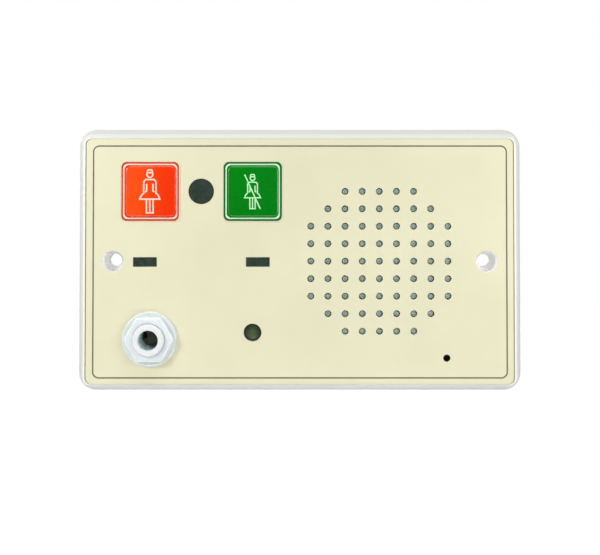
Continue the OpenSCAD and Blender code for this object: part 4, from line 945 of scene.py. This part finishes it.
for x, y, w, h in ((TERMINAL_X, 12, 31.3, 9), (SOCKET_HEADER_X, -13, 4.9, 7.9),
                   (HEADER_X, -7, 3.9, 7.8), (HEADER_X, -20.5, 3.9, 7.8),
                   (CALL_X, KEY_Y, 12.8, 12.8), (CANCEL_X, KEY_Y, 12.8, 12.8), (SIGNAL_X, KEY_Y, 7.6, 6.4)):
    outlines.append(band_form(
        rounded_outline(w / 2, h / 2, 0.3, 3, 1) + (x, y), 0.16,
        board_layer(PRINT_RISE), board_layer(ROOT_RISE), True))
piece("board_small_parts", *joined(bodies), "housing", "chip_black")
piece("board_small_part_ends", *joined(caps), "housing", "contact_metal", material=solder)
piece("board_marks", *joined(outlines), "housing", "board_laminate", material=silk)

# Solder where the wires meet the tags and the lugs
blobs = [dome_form((-1.9, side * 1.3), 0.75, 0.45, 4.95, 1, 12, 6, 0.2) for side in (-1, 1)]
piece("tag_solder", *joined(blobs), "housing", "contact_metal", material=solder)


# Light, floor and camera

def soft_box(name, place, aim, width, height, watts):
    """Area lamp at a place, turned so that it looks at the aim."""
    data = bpy.data.lights.new(name, "AREA")
    data.shape = "RECTANGLE"
    data.size, data.size_y = width, height
    data.energy = watts
    lamp = bpy.data.objects.new(name, data)
    scene.collection.objects.link(lamp)
    way = np.subtract(aim, place)
    lamp.location = place
    lamp.rotation_euler = (math.acos(-way[2] / np.linalg.norm(way)), 0, math.atan2(-way[0], way[1]))
    lamp.visible_camera = False
    return lamp


soft_box("left_lamp", (-0.19, -0.155, 0.075), (-0.03, 0, 0), 0.06, 0.06, 0.24)
soft_box("right_lamp", (0.17, -0.16, 0.05), (0.03, 0, 0), 0.10, 0.10, 0.20)
soft_box("top_lamp", (0.0, -0.12, 0.30), (0, 0, 0), 0.30, 0.08, 0.38)
soft_box("low_lamp", (0.0, -0.12, -0.13), (0, 0, 0), 0.30, 0.03, 0.13)
front_lamp = soft_box("front_lamp", (0.03, -0.5, 0.046), (-0.03, 0, 0), 0.10, 0.10, 0.09)
rear_lamp = soft_box("rear_lamp", (-0.12, 0.5, 0.06), (0, 0, 0), 0.4, 0.3, 1.4)
front_lamp.visible_glossy = rear_lamp.visible_glossy = False


def white_where_seen(tree, ambient):
    """Strength 1 for rays from the camera, reflections and clear pieces, the ambient one for all others."""
    rays = tree.nodes.new("ShaderNodeLightPath")
    seen = rays.outputs["Is Camera Ray"]
    for name in ("Is Glossy Ray", "Is Transmission Ray"):
        node = tree.nodes.new("ShaderNodeMath")
        node.operation = "MAXIMUM"
        tree.links.new(seen, node.inputs[0])
        tree.links.new(rays.outputs[name], node.inputs[1])
        seen = node.outputs[0]
    strength = tree.nodes.new("ShaderNodeMapRange")
    tree.links.new(seen, strength.inputs["Value"])
    strength.inputs["To Min"].default_value = ambient
    strength.inputs["To Max"].default_value = 1
    return strength.outputs[0]


AMBIENT = 0.255
FLOOR_GLOW = 0.86
FLOOR_Z = -0.34
FLOOR_HALF = 3

world = bpy.data.worlds.new("studio")
scene.world = world
world.use_nodes = True
back = world.node_tree.nodes["Background"]
back.inputs["Color"].default_value = (1, 1, 1, 1)
world.node_tree.links.new(white_where_seen(world.node_tree, AMBIENT), back.inputs["Strength"])


def card(name, corners):
    """Flat sheet with four corners, in metres."""
    mesh = bpy.data.meshes.new(name)
    mesh.from_pydata(corners, [], [(0, 1, 2, 3)])
    made = bpy.data.objects.new(name, mesh)
    scene.collection.objects.link(made)
    return made


floor = card("floor", [
    (-FLOOR_HALF, -FLOOR_HALF, FLOOR_Z), (FLOOR_HALF, -FLOOR_HALF, FLOOR_Z),
    (FLOOR_HALF, FLOOR_HALF, FLOOR_Z), (-FLOOR_HALF, FLOOR_HALF, FLOOR_Z)])
paper = bpy.data.materials.new("floor_paper")
paper.use_nodes = True
tree = paper.node_tree
shader = tree.nodes["Principled BSDF"]
shader.inputs["Base Color"].default_value = (0.7, 0.7, 0.7, 1)
shader.inputs["Roughness"].default_value = 0.9
shader.inputs["Specular IOR Level"].default_value = 0
shader.inputs["Emission Color"].default_value = (1, 1, 1, 1)
glow = white_where_seen(tree, 0.0)
scaled = tree.nodes.new("ShaderNodeMath")
scaled.operation = "MULTIPLY"
scaled.inputs[1].default_value = FLOOR_GLOW
tree.links.new(glow, scaled.inputs[0])
tree.links.new(scaled.outputs[0], shader.inputs["Emission Strength"])
floor.data.materials.append(paper)

# Dark flag behind the camera, seen in reflections alone, so that flat gloss facing it stays deep
flag = card("flag", [(-0.6, -0.75, 0.5), (0.6, -0.75, 0.5), (0.6, -0.75, -0.45), (-0.6, -0.75, -0.45)])
felt = bpy.data.materials.new("flag_felt")
felt.use_nodes = True
felt_shader = felt.node_tree.nodes["Principled BSDF"]
felt_shader.inputs["Base Color"].default_value = (0.02, 0.02, 0.02, 1)
felt_shader.inputs["Specular IOR Level"].default_value = 0
flag.data.materials.append(felt)
flag.visible_camera = flag.visible_diffuse = flag.visible_shadow = flag.visible_transmission = False

FOCAL_PIXELS = 982.0
IMAGE_W = 600
SENSOR_W = 36
CAMERA_TURN = 91.25
camera_data = bpy.data.cameras.new("camera")
camera = bpy.data.objects.new("camera", camera_data)
scene.collection.objects.link(camera)
scene.camera = camera
camera_data.sensor_width = SENSOR_W
camera_data.sensor_fit = "HORIZONTAL"
camera_data.lens = SENSOR_W * FOCAL_PIXELS / IMAGE_W
camera_data.clip_start = 0.01
camera_data.dof.use_dof = False
camera_data.shift_x = -0.00677
camera_data.shift_y = -0.1694
camera.location = (0.0014, -0.327, 0.0206)
camera.rotation_euler = (math.radians(CAMERA_TURN), 0, 0)

scene.view_settings.view_transform = "Standard"

bpy.context.view_layer.update()
